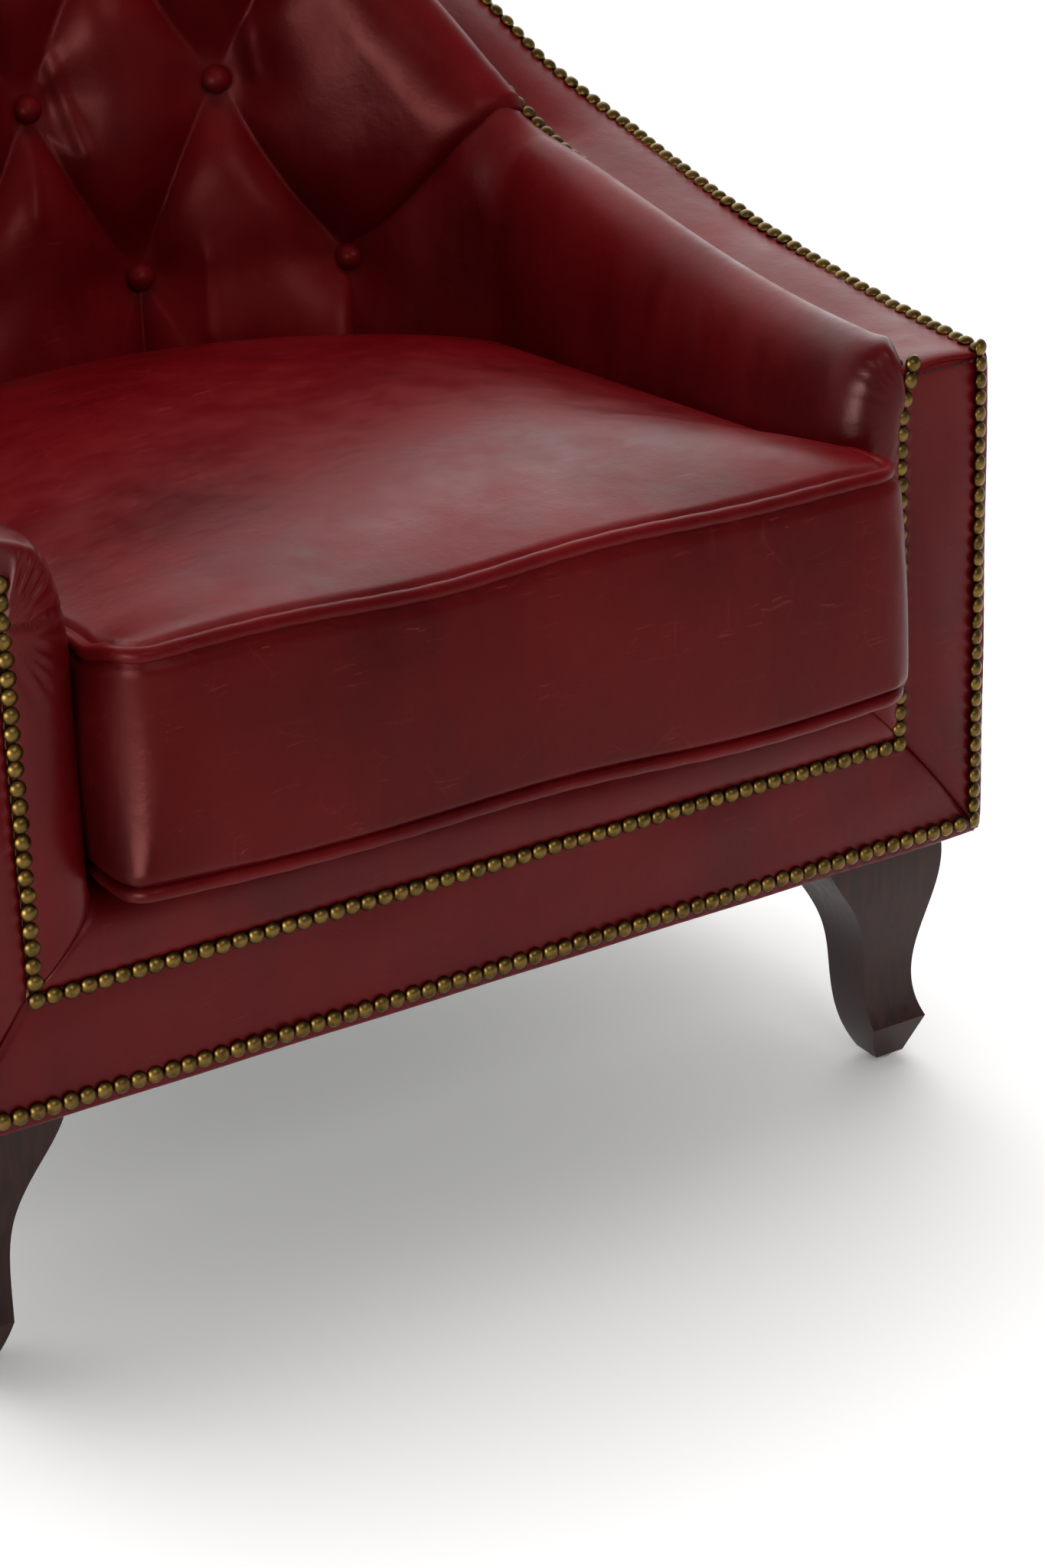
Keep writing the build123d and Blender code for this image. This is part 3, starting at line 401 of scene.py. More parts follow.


# Die-struck brass nailhead, antiqued olive brown, darkened towards the rim as painted shade where the dome
# meets the leather
def makeNailBrass():
    material, tree, shader = newMaterial("antiqueBrass", Metallic=1.0, Roughness=brass["rough"])
    coord = addNode(tree, "ShaderNodeTexCoord").outputs["Object"]
    tarnish = addNode(tree, "ShaderNodeTexNoise",
                      {"Vector": coord, "Scale": 1 / brass["tarnishSize"], "Detail": 3.0})
    tone = addNode(tree, "ShaderNodeValToRGB", {"Fac": tarnish.outputs["Fac"]},
                   [(0.32, brass["dark"]), (0.62, brass["light"])])
    # painted shade: the lower part of each dome is mixed towards a dark brown, by its height on the head
    dome = addNode(tree, "ShaderNodeAttribute", attribute_name="dome")
    wearAndShade = addNode(tree, "ShaderNodeValToRGB", {"Fac": dome.outputs["Fac"]}, [(0.0, 0.45), (0.4, 1.0)])
    colour = addNode(tree, "ShaderNodeMix", {"Factor": wearAndShade.outputs["Color"], "A": hexColour(brass["shadedRim"]),
                                             "B": tone.outputs["Color"]}, data_type="RGBA")
    tree.links.new(colour.outputs["Result"], shader.inputs["Base Color"])
    return material


# Wood, metal or plastic in two tones along one grain of a real size, with its shine and pores where asked
def makeGrained(name, tones, grainSize, detail, shine=None, pores=None, **sockets):
    material, tree, shader = newMaterial(name, **sockets)
    coord = addNode(tree, "ShaderNodeTexCoord").outputs["Object"]
    lay = addNode(tree, "ShaderNodeMapping", {"Vector": coord, "Scale": [1 / size for size in grainSize]})
    grain = addNode(tree, "ShaderNodeTexNoise",
                    {"Vector": lay.outputs["Vector"], "Scale": 1.0, "Detail": detail}).outputs["Fac"]
    tone = addNode(tree, "ShaderNodeValToRGB", {"Fac": grain}, [(0.3, tones[0]), (0.7, tones[1])])
    tree.links.new(tone.outputs["Color"], shader.inputs["Base Color"])
    if shine:
        gloss = addNode(tree, "ShaderNodeValToRGB", {"Fac": grain}, [(0.3, shine[0]), (0.7, shine[1])])
        tree.links.new(gloss.outputs["Color"], shader.inputs["Roughness"])
    if pores:
        dimples = addNode(tree, "ShaderNodeBump", {"Height": grain, "Strength": pores, "Distance": 0.001})
        tree.links.new(dimples.outputs["Normal"], shader.inputs["Normal"])
    return material


# Plain woven cloth: crossed threads at a real spacing, matt
def makeCloth(name, dark, light, spacing, sheen=0.15):
    waveLength = 0.314  # one band of a wave texture at scale 1
    material, tree, shader = newMaterial(name, Roughness=0.92, Sheen_Weight=sheen)
    coord = addNode(tree, "ShaderNodeTexCoord").outputs["Object"]
    threads = {"Vector": coord, "Scale": waveLength / spacing}
    warp = addNode(tree, "ShaderNodeTexWave", threads, bands_direction="X")
    weft = addNode(tree, "ShaderNodeTexWave", threads, bands_direction="Y")
    cross = addNode(tree, "ShaderNodeMath", {0: warp.outputs["Fac"], 1: weft.outputs["Fac"]},
                    operation="MAXIMUM").outputs["Value"]
    tone = addNode(tree, "ShaderNodeValToRGB", {"Fac": cross}, [(0.2, dark), (0.9, light)])
    tree.links.new(tone.outputs["Color"], shader.inputs["Base Color"])
    weave = addNode(tree, "ShaderNodeBump", {"Height": cross, "Strength": 0.3, "Distance": 0.0008})
    tree.links.new(weave.outputs["Normal"], shader.inputs["Normal"])
    return material


# the seat's leather takes painted shade on the cushion's upright boxing faces
seatLeather = makeLeather("oxbloodSeat", (0.0, 0.0, 0.0), 0.55, "warmSheen", shadeMask="boxing")
backLeather = makeLeather("oxbloodBack", (3.1, 1.7, 0.4), 0.2, "warmSheen")
armLeather = makeLeather("oxbloodArm", (6.4, 2.2, 1.9), 0.25)
bandLeather = makeLeather("oxbloodBand", (9.7, 5.3, 3.3), 0.25)
outsideLeather = makeLeather("oxbloodOutside", (12.2, 8.1, 5.0), 0.3)
nailBrass = makeNailBrass()
# Stained beech under satin lacquer: espresso with a faint upright grain
legWood = makeGrained("espressoBeech", ("#1e0c09", "#371b14"), (0.004, 0.004, 0.09), 4.0, shine=(0.36, 0.48),
                      pores=0.06, IOR=1.30, Coat_Weight=0.06, Coat_Roughness=0.3)
# Sawn hardwood of the hidden frame: pale and dry, with saw-cut grain
frameWood = makeGrained("sawnBeech", ("#a07a4c", "#cfae7c"), (0.05, 0.006, 0.006), 4.0, IOR=1.45,
                        Roughness=0.72)
webbing = makeCloth("juteWebbing", "#6d5a3d", "#a48c63", 0.003)
lining = makeCloth("blackLining", "#060606", "#16161a", 0.0025)
wadding = makeCloth("foamWrap", "#d3cdbd", "#ece8dc", 0.003)
# Zinc-plated steel: grey, slightly cloudy
zinc = makeGrained("zincSteel", ("#8d8f90", "#b9babb"), (0.008, 0.008, 0.008), 3.0, shine=(0.3, 0.45),
                   Metallic=1.0)
# Moulded nylon glide: pale grey, faintly mottled and matt
nylon = makeGrained("paleNylon", ("#aaa598", "#c4c0b4"), (0.005, 0.005, 0.005), 2.0, IOR=1.53, Roughness=0.55)
thread = makeCloth("waxedThread", "#0c0102", "#1c0405", 0.0008, 0.0)
print("materials made")


def paint(piece, material):
    piece.data.materials.clear()
    piece.data.materials.append(material)


def dress(piece, material, slotName, *replaced, body="chair_body"):
    paint(piece, material)
    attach(piece, body)
    if replaced:
        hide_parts(*replaced)


# The solids that stay wear the material of their kind, found by a word of their name
cadLooks = {
    "rail": frameWood, "post": frameWood, "blocks": frameWood, "_leg": legWood, "webbing": webbing,
    "glides": nylon, "bolts": zinc, "dust_cover": lining, "cushion_core": wadding,
}
for nodeName, node in nodes.items():
    for word, material in cadLooks.items():
        if word in nodeName:
            paint(node, material)

# Top band: flat leather strip over the arms and the crest, nailed along both edges
topBandShape = {
    "columns": 640, "thickness": 0.0022, "endGap": 0.0006, "nailPitch": 0.011, "nailLine": 0.006,
    "pucker": 0.0007, "sag": 0.0011, "sagSize": 0.16, "edgeWave": 0.0010, "waveSize": 0.05,
    "edgeWidth": 0.01, "endDrop": 0.0035, "endTuck": 0.004,
    "profile": ((-0.0008, -0.0075), (-0.0012, -0.0045), (-0.0004, -0.0018), (0.0012, -0.0002),
                (0.0036, 0.0004), (0.0075, 0.0002), (0.0125, 0.0010), (0.020, 0.0019), (0.028, 0.0024),
                (0.036, 0.0024), (0.045, 0.0018), (0.053, 0.0010), (0.0605, 0.0003), (0.0645, 0.0004),
                (0.0670, -0.0002), (0.0684, -0.0016), (0.0688, -0.0040)),  # inset and lift across the strip
}


def topBandRule(u, w):
    shape = topBandShape
    steps = np.arange(len(shape["profile"]))
    inset, lift = (np.interp(w * steps[-1], steps, side) for side in np.transpose(shape["profile"]))
    run = shape["endGap"] + u * 2 * (halfRun - shape["endGap"])
    endSeam = np.minimum(run, 2 * halfRun - run)
    nailed = np.exp(-((inset - shape["nailLine"]) / shape["nailLine"]) ** 2)
    pucker = shape["pucker"] * nailed * np.cos(2 * math.pi * run / shape["nailPitch"])
    sag = shape["sag"] * uneven(run, inset * 2, shape["sagSize"], 1)
    drop = shape["endDrop"] * np.exp(-endSeam / shape["endDrop"])
    wave = shape["edgeWave"] * uneven(run, inset, shape["waveSize"], 3)
    tuck = shape["endTuck"] * np.exp(-endSeam / shape["endTuck"])
    outer = inset < shape["edgeWidth"]
    return wallPoint(run, inset + (wave + tuck) * outer, swoop(run) + lift + pucker + sag - drop)


topBand = addSheet("topBand", topBandShape["columns"], len(topBandShape["profile"]) * 2 - 2, topBandRule)
faceTowards(topBand, (0, 0, 1))
closeSheet(topBand, topBandShape["thickness"])
dress(topBand, bandLeather, "oxblood_leather", "left_top_band", "right_top_band")
print("top band done")

# Front border: three mitred strips round the opening under and beside the cushion
borderShape = {
    "columns": 420, "armColumns": 180, "rows": 40, "thickness": 0.0025, "puff": 0.0026, "puffFrom": 0.16,
    "puffRun": 0.74, "edgeDrop": 0.0030, "outerFall": 0.012, "innerFall": 0.02, "seamDepth": 0.0016,
    "seamWidth": 0.0022, "seamFall": 0.009, "pitch": 0.011, "pucker": 0.0005, "nailLines": (0.10, 0.97),
    "nailWidth": 0.06, "wave": 0.0009, "waveSize": 0.13, "topGap": 0.0012, "mitre": 0.757,
}


# Outward swell of a border strip from its outer edge (0) to its inner edge (1)
def borderSwell(t, along, seamGap):
    shape = borderShape
    body = shape["puff"] * np.sin(math.pi * np.clip((t - shape["puffFrom"]) / shape["puffRun"], 0, 1)) ** 0.8
    edge = -shape["edgeDrop"] * (np.exp(-t / shape["outerFall"]) + np.exp(-(1 - t) / shape["innerFall"]))
    rows = sum(np.exp(-((t - line) / shape["nailWidth"]) ** 2) for line in shape["nailLines"])
    pucker = shape["pucker"] * rows * np.cos(2 * math.pi * along / shape["pitch"])
    seam = np.exp(-((seamGap / shape["seamWidth"]) ** 2)) + np.exp(-seamGap / shape["seamFall"])
    wave = shape["wave"] * uneven(along, t * 0.2, shape["waveSize"], 5)
    return body + edge + pucker - shape["seamDepth"] * seam + wave


# Share across a strip, with its rows drawn closer together at both edges
def edgeSpread(w):
    return w - 0.06 * np.sin(2 * math.pi * w) / math.pi


def borderFoot(t):
    return wall["bandBase"] + (wall["mitreTop"] - wall["bandBase"]) * t


def lowerBandRule(u, w):
    t = edgeSpread(w)
    half = wall["halfWidth"] - wall["bandWidth"] * t
    x = (2 * u - 1) * half
    gap = (half - np.abs(x)) * borderShape["mitre"]
    return np.stack([x, wall["front"] - borderSwell(t, x, gap), borderFoot(t)], -1)


def armBandRule(u, w):
    t = edgeSpread(w)
    low, high = borderFoot(t), wall["armTop"] - borderShape["topGap"]
    z = low + (high - low) * u
    gap = np.minimum((z - low) * borderShape["mitre"], high - z)
    x = wall["halfWidth"] - wall["bandWidth"] * t
    return np.stack([x, wall["front"] - borderSwell(t, z, gap), z], -1)


lowerBand = addSheet("lowerBand", borderShape["columns"], borderShape["rows"], lowerBandRule)
rightArmBand = addSheet("rightArmBand", borderShape["armColumns"], borderShape["rows"], armBandRule)
for band in (lowerBand, rightArmBand):
    faceTowards(band, (0, -1, 0))
    closeSheet(band, borderShape["thickness"])
leftArmBand = mirrored(rightArmBand, "leftArmBand")
dress(lowerBand, bandLeather, "oxblood_leather", "front_band")
dress(rightArmBand, bandLeather, "oxblood_leather", "right_arm_band")
dress(leftArmBand, bandLeather, "oxblood_leather", "left_arm_band")
print("front border done")

# Tufting of the inside back, and the seam that runs from its corner button up to the band
tufts = {
    "floor": 0.0805, "depth": 0.0345, "step": math.radians(14.2), "lowRow": 0.482, "rowPitch": 0.124,
    "pull": 0.93, "dipPower": 1.15, "dipSize": 0.036, "dipBelow": 0.026, "foldOver": 0.020,
    "foldUnder": 0.014, "foldDepth": 0.72, "foldEnds": 0.22, "foldBow": 0.0045,
    "columns": 380, "rows": 236, "rolled": 0.16, "lowRows": 0.20, "seatLine": 0.440, "tucked": 0.010,
    "thickness": 0.010, "backing": 0.06, "wave": 0.0010, "waveSize": 0.07,
    "seamTopRun": 0.4543, "seamTopZ": 0.598, "seamDepth": 0.006, "seamWidth": 0.005,
    "creaseRise": 0.075, "creaseWidth": 0.0065, "creaseEnd": 0.012,
    "creases": ((6.0, 0.640, 9.0, 0.572), (31.8, 0.675, 32.7, 0.618), (23.8, 0.486, 22.9, 0.440),
                (2.0, 0.575, 0.7, 0.535), (-7.0, 0.655, -5.5, 0.580), (-24.0, 0.500, -25.5, 0.450),
                (-33.0, 0.668, -31.5, 0.610)),  # degrees and height of the top, then of the foot
    "nudged": {(1, 0): (0.9, -0.008), (2, 1): (-0.7, 0.003), (0, 1): (3.0, -0.004), (1, 2): (1.5, 0.0)},
}
floorRadius = wall["backRadius"] - tufts["floor"]
cornerRun = runOfAngle(3 * tufts["step"])
seamTurn = math.atan2(tufts["seamTopZ"] - tufts["lowRow"], tufts["seamTopRun"] - cornerRun)
seamClear = 0.0005  # between a pad and the band's inner edge


# Distance from the seam in the unrolled wall: positive on the back's side
def seamSide(run, z):
    slanted = (run - cornerRun) * math.sin(seamTurn) - (z - tufts["lowRow"]) * math.cos(seamTurn)
    return np.maximum(run - cornerRun, slanted)


# Run along the band at which the seam passes a height
def seamRun(z):
    share = np.maximum(z - tufts["lowRow"], 0) / (tufts["seamTopZ"] - tufts["lowRow"])
    return cornerRun + (tufts["seamTopRun"] - cornerRun) * share


# Rolled top edge of a pad, by share 0 at the band to 1 on the flat face
rollShape = {"start": math.radians(-16.0), "reach": 0.082, "drop": 0.070, "foot": 0.10, "sunk": 0.002,
             "raiseTo": 0.14, "raiseEnd": 0.45}


# Share of the inset, rise over the band, and rise with the tucked side held at the crest
def rollEdge(share, square=1.0, raised=0.0):
    reach, drop, sunk = rollShape["reach"], rollShape["drop"], rollShape["sunk"]
    foot = np.clip(share / rollShape["foot"], 0, 1)
    rest = np.clip((share - rollShape["foot"]) / (1 - rollShape["foot"]), 0, 1)
    angle = rollShape["start"] + (math.pi / 2 - rollShape["start"]) * rest
    low = math.sin(rollShape["start"])
    first = reach * math.cos(rollShape["start"]) - drop
    out = np.where(angle > 0, np.abs(np.sin(angle)) ** square, np.sin(angle))
    tall = np.where(angle > 0, np.clip(np.cos(angle), 0, 1) ** square, np.cos(angle))
    rise = np.where(share < rollShape["foot"], (first + sunk) * foot - sunk, reach * tall - drop)
    falling = 1 - smooth(share, rollShape["raiseEnd"], 1)
    rise = rise + raised * smooth(share, 0, rollShape["raiseTo"]) * falling
    return (out - low) / (1 - low), rise, np.where(angle > 0, rise, reach - drop)


# Place of a button by its column and row, single ones a little off as tied by hand
def buttonSpot(step, row):
    turn, lift = tufts["nudged"].get((abs(step), row), (0.0, 0.0))
    turn = math.radians(turn) * (-1 if step < 0 else 1)
    return step * tufts["step"] + turn, tufts["lowRow"] + row * tufts["rowPitch"] + lift


# Pleats between two buttons, or from a button to the band or down to the seat
def foldList():
    folds = []
    for side in (1, -1):
        one, two, three = side * 1, side * 2, side * 3
        folds += [((one, 0), (0, 1)), ((one, 0), (two, 1)), ((three, 0), (two, 1)),
                  ((0, 1), (one, 2)), ((two, 1), (one, 2)), ((two, 1), (side * 3.05, 2.05)),
                  ((one, 2), (side * 1.12, 3.4)), ((one, 0), (side * 0.98, -2.2))]
    return [[(buttonSpot(*end)[0] * floorRadius, buttonSpot(*end)[1]) for end in fold] for fold in folds]


buttonSpots = [buttonSpot(*place) for place in
               ((1, 0), (-1, 0), (3, 0), (-3, 0), (0, 1), (2, 1), (-2, 1), (1, 2), (-1, 2))]


# How far a button draws the leather down to the backing, by the distance from it
def buttonPull(distance, size):
    return tufts["pull"] * np.exp(-((distance / size) ** tufts["dipPower"]))


# Fullness of the tufting, 0 on the backing at a button and 1 on a full pillow
def pillow(angle, z):
    x = angle * floorRadius
    full = np.ones_like(x)
    for a, spotZ in buttonSpots:
        d = np.maximum(np.hypot(x - a * floorRadius, z - spotZ), 0.0001)
        upper = smooth((z - spotZ) / d, -0.75, 0.2)
        full *= 1 - buttonPull(d, tufts["dipBelow"] + (tufts["dipSize"] - tufts["dipBelow"]) * upper)
    for i, ((x0, z0), (x1, z1)) in enumerate(foldList()):
        length = math.hypot(x1 - x0, z1 - z0)
        tx, tz = (x1 - x0) / length, (z1 - z0) / length
        along = (x - x0) * tx + (z - z0) * tz
        share = np.clip(along / length, 0, 1)
        bow = tufts["foldBow"] * np.sin(math.pi * share) * (1 if i % 2 else -1)
        across = ((z - z0) * tx - (x - x0) * tz) * (-1 if tx < 0 else 1) - bow
        past = np.maximum(np.maximum(-along, along - length), 0)
        width = np.where(across > 0, tufts["foldOver"], tufts["foldUnder"])
        deep = tufts["foldDepth"] + tufts["foldEnds"] * np.abs(2 * share - 1) ** 2
        full *= 1 - deep * np.exp(-np.hypot(across, past * 1.5) / width)
    for turn0, z0, turn1, z1 in tufts["creases"]:
        share = np.clip((z - z0) / (z1 - z0), 0, 1)
        middle = math.radians(turn0) + math.radians(turn1 - turn0) * share
        beside = (x - middle * floorRadius) / tufts["creaseWidth"]
        past = np.maximum(np.maximum(z - z0, z1 - z), 0) / tufts["creaseEnd"]
        full += tufts["creaseRise"] * np.exp(-(beside**2) - past**2)
    return full


# Run along the band of each point of a sheet whose outer end follows the seam
def runToSeam(start, share, levelAt, tucked):
    run = start + share * (cornerRun - start)
    for _ in range(14):
        end = seamRun(levelAt(run)) + tucked
        run = 0.5 * run + 0.5 * (start + share * (end - start))
    return run


# Inside back: diamond tufting wrapped round the curved and leaning back
def insideBackRule(u, w):
    rolled, lowRows = tufts["rolled"], tufts["lowRows"]
    share = np.clip((1 - w) / rolled, 0, 1)
    edge, rise, crest = rollEdge(share)

    def heightAt(run):
        hidden = np.clip(w / lowRows, 0, 1)
        seen = np.clip((w - lowRows) / (1 - rolled - lowRows), 0, 1)
        flatTop = swoop(run) - rollShape["drop"]
        low, middle = wall["padBase"], tufts["seatLine"]
        return low + (middle - low) * hidden + (flatTop - middle) * seen

    def levelAt(run):
        return np.where(w < 1 - rolled, heightAt(run), swoop(run) + crest)

    side = np.sign(u - 0.5)
    run = runToSeam(halfRun, np.abs(2 * u - 1), levelAt, -tufts["tucked"])
    angle = side * (junction - (run - cornerEnd) / (wall["backRadius"] - bandMiddle))
    z = np.where(w < 1 - rolled, heightAt(run), swoop(run) + rise)
    gap = seamSide(run, levelAt(run))
    inset = tufts["floor"] + tufts["depth"] * pillow(angle, z)
    inset = inset + tufts["wave"] * uneven(angle * floorRadius, z, tufts["waveSize"], 2)
    seam = tufts["seamDepth"] * np.exp(-np.maximum(gap, 0) / tufts["seamWidth"])
    inset = inset - seam + np.minimum(gap, 0) * 2.0
    lowered = np.where(gap < 0, np.minimum(-gap * 1.5, 0.014), 0) * (1 - edge) * (share < 1)
    start = wall["bandWidth"] + seamClear
    points = wallPoint(run, start + (inset - start) * edge, z - lowered)
    points[:, 0] *= np.where(side < 0, -1, 1)
    return points


insideBack = addSheet("insideBack", tufts["columns"], tufts["rows"], insideBackRule)
faceTowards(insideBack, (0, -1, 0))
closeSheet(insideBack, tufts["thickness"], backing=tufts["backing"])
dress(insideBack, backLeather, "oxblood_leather", "inside_back")
print("tufted back done")

# Covered buttons: leather over a domed metal shell
buttonShape = {"segments": 28, "rings": 14, "cut": -0.45, "radius": 0.0099, "dome": 0.0078, "lift": 0.0045,
               "tilt": 0.10}


def placeAt(piece, spot, normal):
    turn = Vector(normal).to_track_quat("Z", "Y").to_matrix().to_4x4()
    piece.data.transform(Matrix.Translation(Vector(spot)) @ turn)


oneButton = addDome(buttonShape["segments"], buttonShape["rings"], buttonShape["cut"], buttonShape["radius"],
                    buttonShape["dome"])
buttons = []
for angle, z in buttonSpots:
    button = copied(oneButton)
    spot = wallPoint(runOfAngle(angle), tufts["floor"] + buttonShape["lift"], z)
    placeAt(button, spot, (-math.sin(angle), -math.cos(angle), buttonShape["tilt"]))
    buttons.append(button)
bpy.data.objects.remove(oneButton)
backButtons = joinPieces(buttons, "backButtons")
dress(backButtons, backLeather, "oxblood_leather", "back_buttons")
print("buttons done")

# Inside arm: padded panel that rolls over at the top and at the front
armShape = {
    "columns": 210, "rows": 150, "frontShare": 0.16, "topShare": 0.36, "thickness": 0.008, "tucked": 0.010,
    "depth": 0.028, "bulge": 0.034, "start": math.sin(math.radians(-33.0)), "nailed": 0.0025, "lift": 0.0035,
    "padWidth": wall["padInset"] - wall["bandWidth"] - seamClear, "flat": 0.002, "topGap": 0.0005,
    "mitreDepth": 0.0012, "mitreWidth": 0.0022, "underLip": 0.003, "seamDrop": 0.010, "seamFall": 0.055,
    "seamDepth": 0.010, "seamWidth": 0.014, "fullness": 0.02, "waveSize": 0.11,
    "leanFrom": 0.480, "leanTo": 0.524, "liftFrom": 0.25, "liftTo": 0.42,
    "frontReach": 0.08, "squareReach": 0.10, "padReach": 0.06, "rounds": 18,
    "right": {"square": 1.0, "frontPad": -0.002, "frontLift": 0.0035, "topSquare": 0.15, "lean": 0.009,
              "gather": 0.00021},
    "left": {"square": 0.72, "frontPad": 0.001, "frontLift": 0.0090, "topSquare": 0.30, "lean": 0.0,
             "gather": 0.00098},
}
gathers = {"height": 0.494, "radius": 0.032, "width": 0.016, "count": 26, "from": 0.004, "to": 0.026}
piecingSeam = {"height": 0.495, "width": 0.0016, "depth": 0.0026, "reach": 0.03}
lipShape = {"columns": 300, "rows": 40, "depth": 0.044, "top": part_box("front_roll")[1].z, "thickness": 0.006,
            "turned": 0.75, "lowered": 0.001, "mitreDepth": 0.0016, "mitreWidth": 0.0025, "wave": 0.0008,
            "waveSize": 0.12}
lipTall = lipShape["top"] - wall["padBase"]
rollStart = math.asin(armShape["start"])


# Share of a rolled front's fullness, by its share from the nails to the flat face
def frontFullness(part):
    turn = rollStart + (math.pi / 2 - rollStart) * np.clip(part, 0, 1)
    return (np.sin(turn) - armShape["start"]) / (1 - armShape["start"])


# Depth of a padded front behind the front plane, by its fullness; power makes it square or round
def frontProfile(share, power):
    start = armShape["start"]
    turned = -start / (1 - start)
    low = np.sqrt(1 - np.minimum(share * (1 - start) + start, 0) ** 2)
    over = np.clip((share - turned) / (1 - turned), 0, 1)
    high = (1 - over ** (2 / power)) ** (power / 2)
    swell = armShape["bulge"] * np.where(share < turned, low, high)
    return armShape["depth"] - swell + armShape["nailed"] * np.exp(-share / 0.06)


# Small gathers that fan out round the upper corner of an arm's front
def addGathers(points, size):
    inward = wall["halfWidth"] - wall["bandWidth"] - points[:, 0]
    above = points[:, 2] - gathers["height"]
    fan = np.arctan2(above, inward)
    ring = np.exp(-((np.hypot(inward, above) - gathers["radius"]) / gathers["width"]) ** 2)
    near = 1 - smooth(points[:, 1], wall["front"] + gathers["from"], wall["front"] + gathers["to"])
    folds = size * ring * near * np.sin(fan * gathers["count"] + 1.5 * np.sin(fan * 7))
    points[:, 2] += folds
    points[:, 1] -= folds


# One arm by its stuffing; lean is how far the top of its front edge bends outwards
def insideArmRule(stuffing):
    shape = armShape
    frontShare, topShare = shape["frontShare"], shape["topShare"]

    def rule(u, w):
        onFront, onTop = u < frontShare, w < topShare
        frontPart = np.clip(u / frontShare, 0, 1)
        frontFull = frontFullness(frontPart)
        topPart = np.clip(w / topShare, 0, 1)
        crest = rollEdge(topPart)[2]

        def heightAt(run):
            flatTop = swoop(run) - rollShape["drop"]
            return wall["padBase"] + (flatTop - wall["padBase"]) * (1 - w) / (1 - topShare)

        def levelAt(run):
            return np.where(onTop, swoop(run) + crest, heightAt(run))

        # run along the arm, and the roll over its top
        rest = np.clip((u - frontShare) / (1 - frontShare), 0, 1)
        run = runToSeam(shape["depth"], rest, levelAt, shape["tucked"])
        raised = shape["lift"] * (1 - smooth(run, shape["liftFrom"], shape["liftTo"]))
        raised = raised + stuffing["frontLift"] * np.exp(-((run / shape["frontReach"]) ** 2))
        square = 1 - stuffing["topSquare"] * np.exp(-((run / shape["squareReach"]) ** 2))
        topFull, rise, crest = rollEdge(topPart, square, raised)  # levelAt now follows the stuffed crest
        z = np.where(onTop, swoop(run) + rise, heightAt(run))
        gap = np.where(onFront, 1.0, -seamSide(run, levelAt(run)))
        low = shape["seamDrop"] * np.exp(-(np.maximum(gap, 0) / shape["seamFall"]) ** 2) * (1 - topFull)

        # roll over the front, mitred with the lip below the cushion
        below = np.clip((z - wall["padBase"]) / lipTall, 0, 1)
        past = frontFull - below
        frontV = frontProfile(np.minimum(frontFull, below), stuffing["square"])
        frontV = frontV + shape["underLip"] * smooth(past, 0, 0.05)
        mitre = np.exp(-((past * shape["padWidth"] / shape["mitreWidth"]) ** 2))
        frontV = frontV + shape["mitreDepth"] * mitre
        flatV = shape["flat"] + (shape["depth"] - shape["flat"]) * frontPart
        v = flatV + (frontV - flatV) * smooth(topFull, 0.0, 0.5)
        along = np.where(onFront, v, run)
        drop = shape["topGap"] + (rollShape["drop"] - shape["topGap"]) * topPart
        flatZ = swoop(np.maximum(along, 0)) - drop
        z = np.where(onTop, flatZ + (z - low - flatZ) * smooth(frontFull, 0.0, 0.8), z)

        # stuffing, drawn in at the seam of the back and at the corner button
        full = frontFull * topFull * (1 + shape["fullness"] * uneven(along, z, shape["waveSize"], 4))
        sunk = shape["seamDepth"] * np.exp(-np.maximum(gap, 0) / shape["seamWidth"])
        sunk = sunk - np.minimum(gap, 0) * 1.2
        nearFront = np.exp(-(((run - shape["depth"]) / shape["padReach"]) ** 2))
        wide = shape["padWidth"] + stuffing["frontPad"] * nearFront
        inset = wall["bandWidth"] + seamClear + wide * full - sunk * topFull
        beside = (run - cornerRun) * floorRadius / (wall["backRadius"] - bandMiddle)
        pull = buttonPull(np.hypot(beside, z - tufts["lowRow"]), tufts["dipSize"])
        inset = inset - np.maximum(inset - tufts["floor"], 0) * np.where(onFront, 0, pull)
        inset = inset - stuffing["lean"] * smooth(z, shape["leanFrom"], shape["leanTo"]) * (1 - frontFull)

        points = wallPoint(np.maximum(along, 0), inset, z)
        points[:, 1] += np.minimum(along, 0)
        corner = np.exp(-((u - frontShare * 0.7) / 0.10) ** 2 - ((topPart - 0.5) / 0.5) ** 2)
        points = relax(points, shape["columns"], corner, shape["rounds"])
        addGathers(points, stuffing["gather"])
        return points
    return rule


rightInsideArm = addSheet("rightInsideArm", armShape["columns"], armShape["rows"],
                          insideArmRule(armShape["right"]))
leftPattern = addSheet("leftPattern", armShape["columns"], armShape["rows"], insideArmRule(armShape["left"]))
for arm in (rightInsideArm, leftPattern):
    faceTowards(arm, (-1, -0.2, 0.2))
    closeSheet(arm, armShape["thickness"])
leftInsideArm = mirrored(leftPattern, "leftInsideArm")
bpy.data.objects.remove(leftPattern)

# Seam across the left arm's front, where its cover is pieced
leftPoints = readPoints(leftInsideArm)
piecing = np.exp(-(((leftPoints[:, 2] - piecingSeam["height"]) / piecingSeam["width"]) ** 2))
piecing *= smooth(leftPoints[:, 1], wall["front"] + piecingSeam["reach"], wall["front"])
leftPoints[:, 1] += piecingSeam["depth"] * piecing
writePoints(leftInsideArm, leftPoints)
dress(rightInsideArm, armLeather, "oxblood_leather", "right_inside_arm")
dress(leftInsideArm, armLeather, "oxblood_leather", "left_inside_arm")
print("inside arms done")


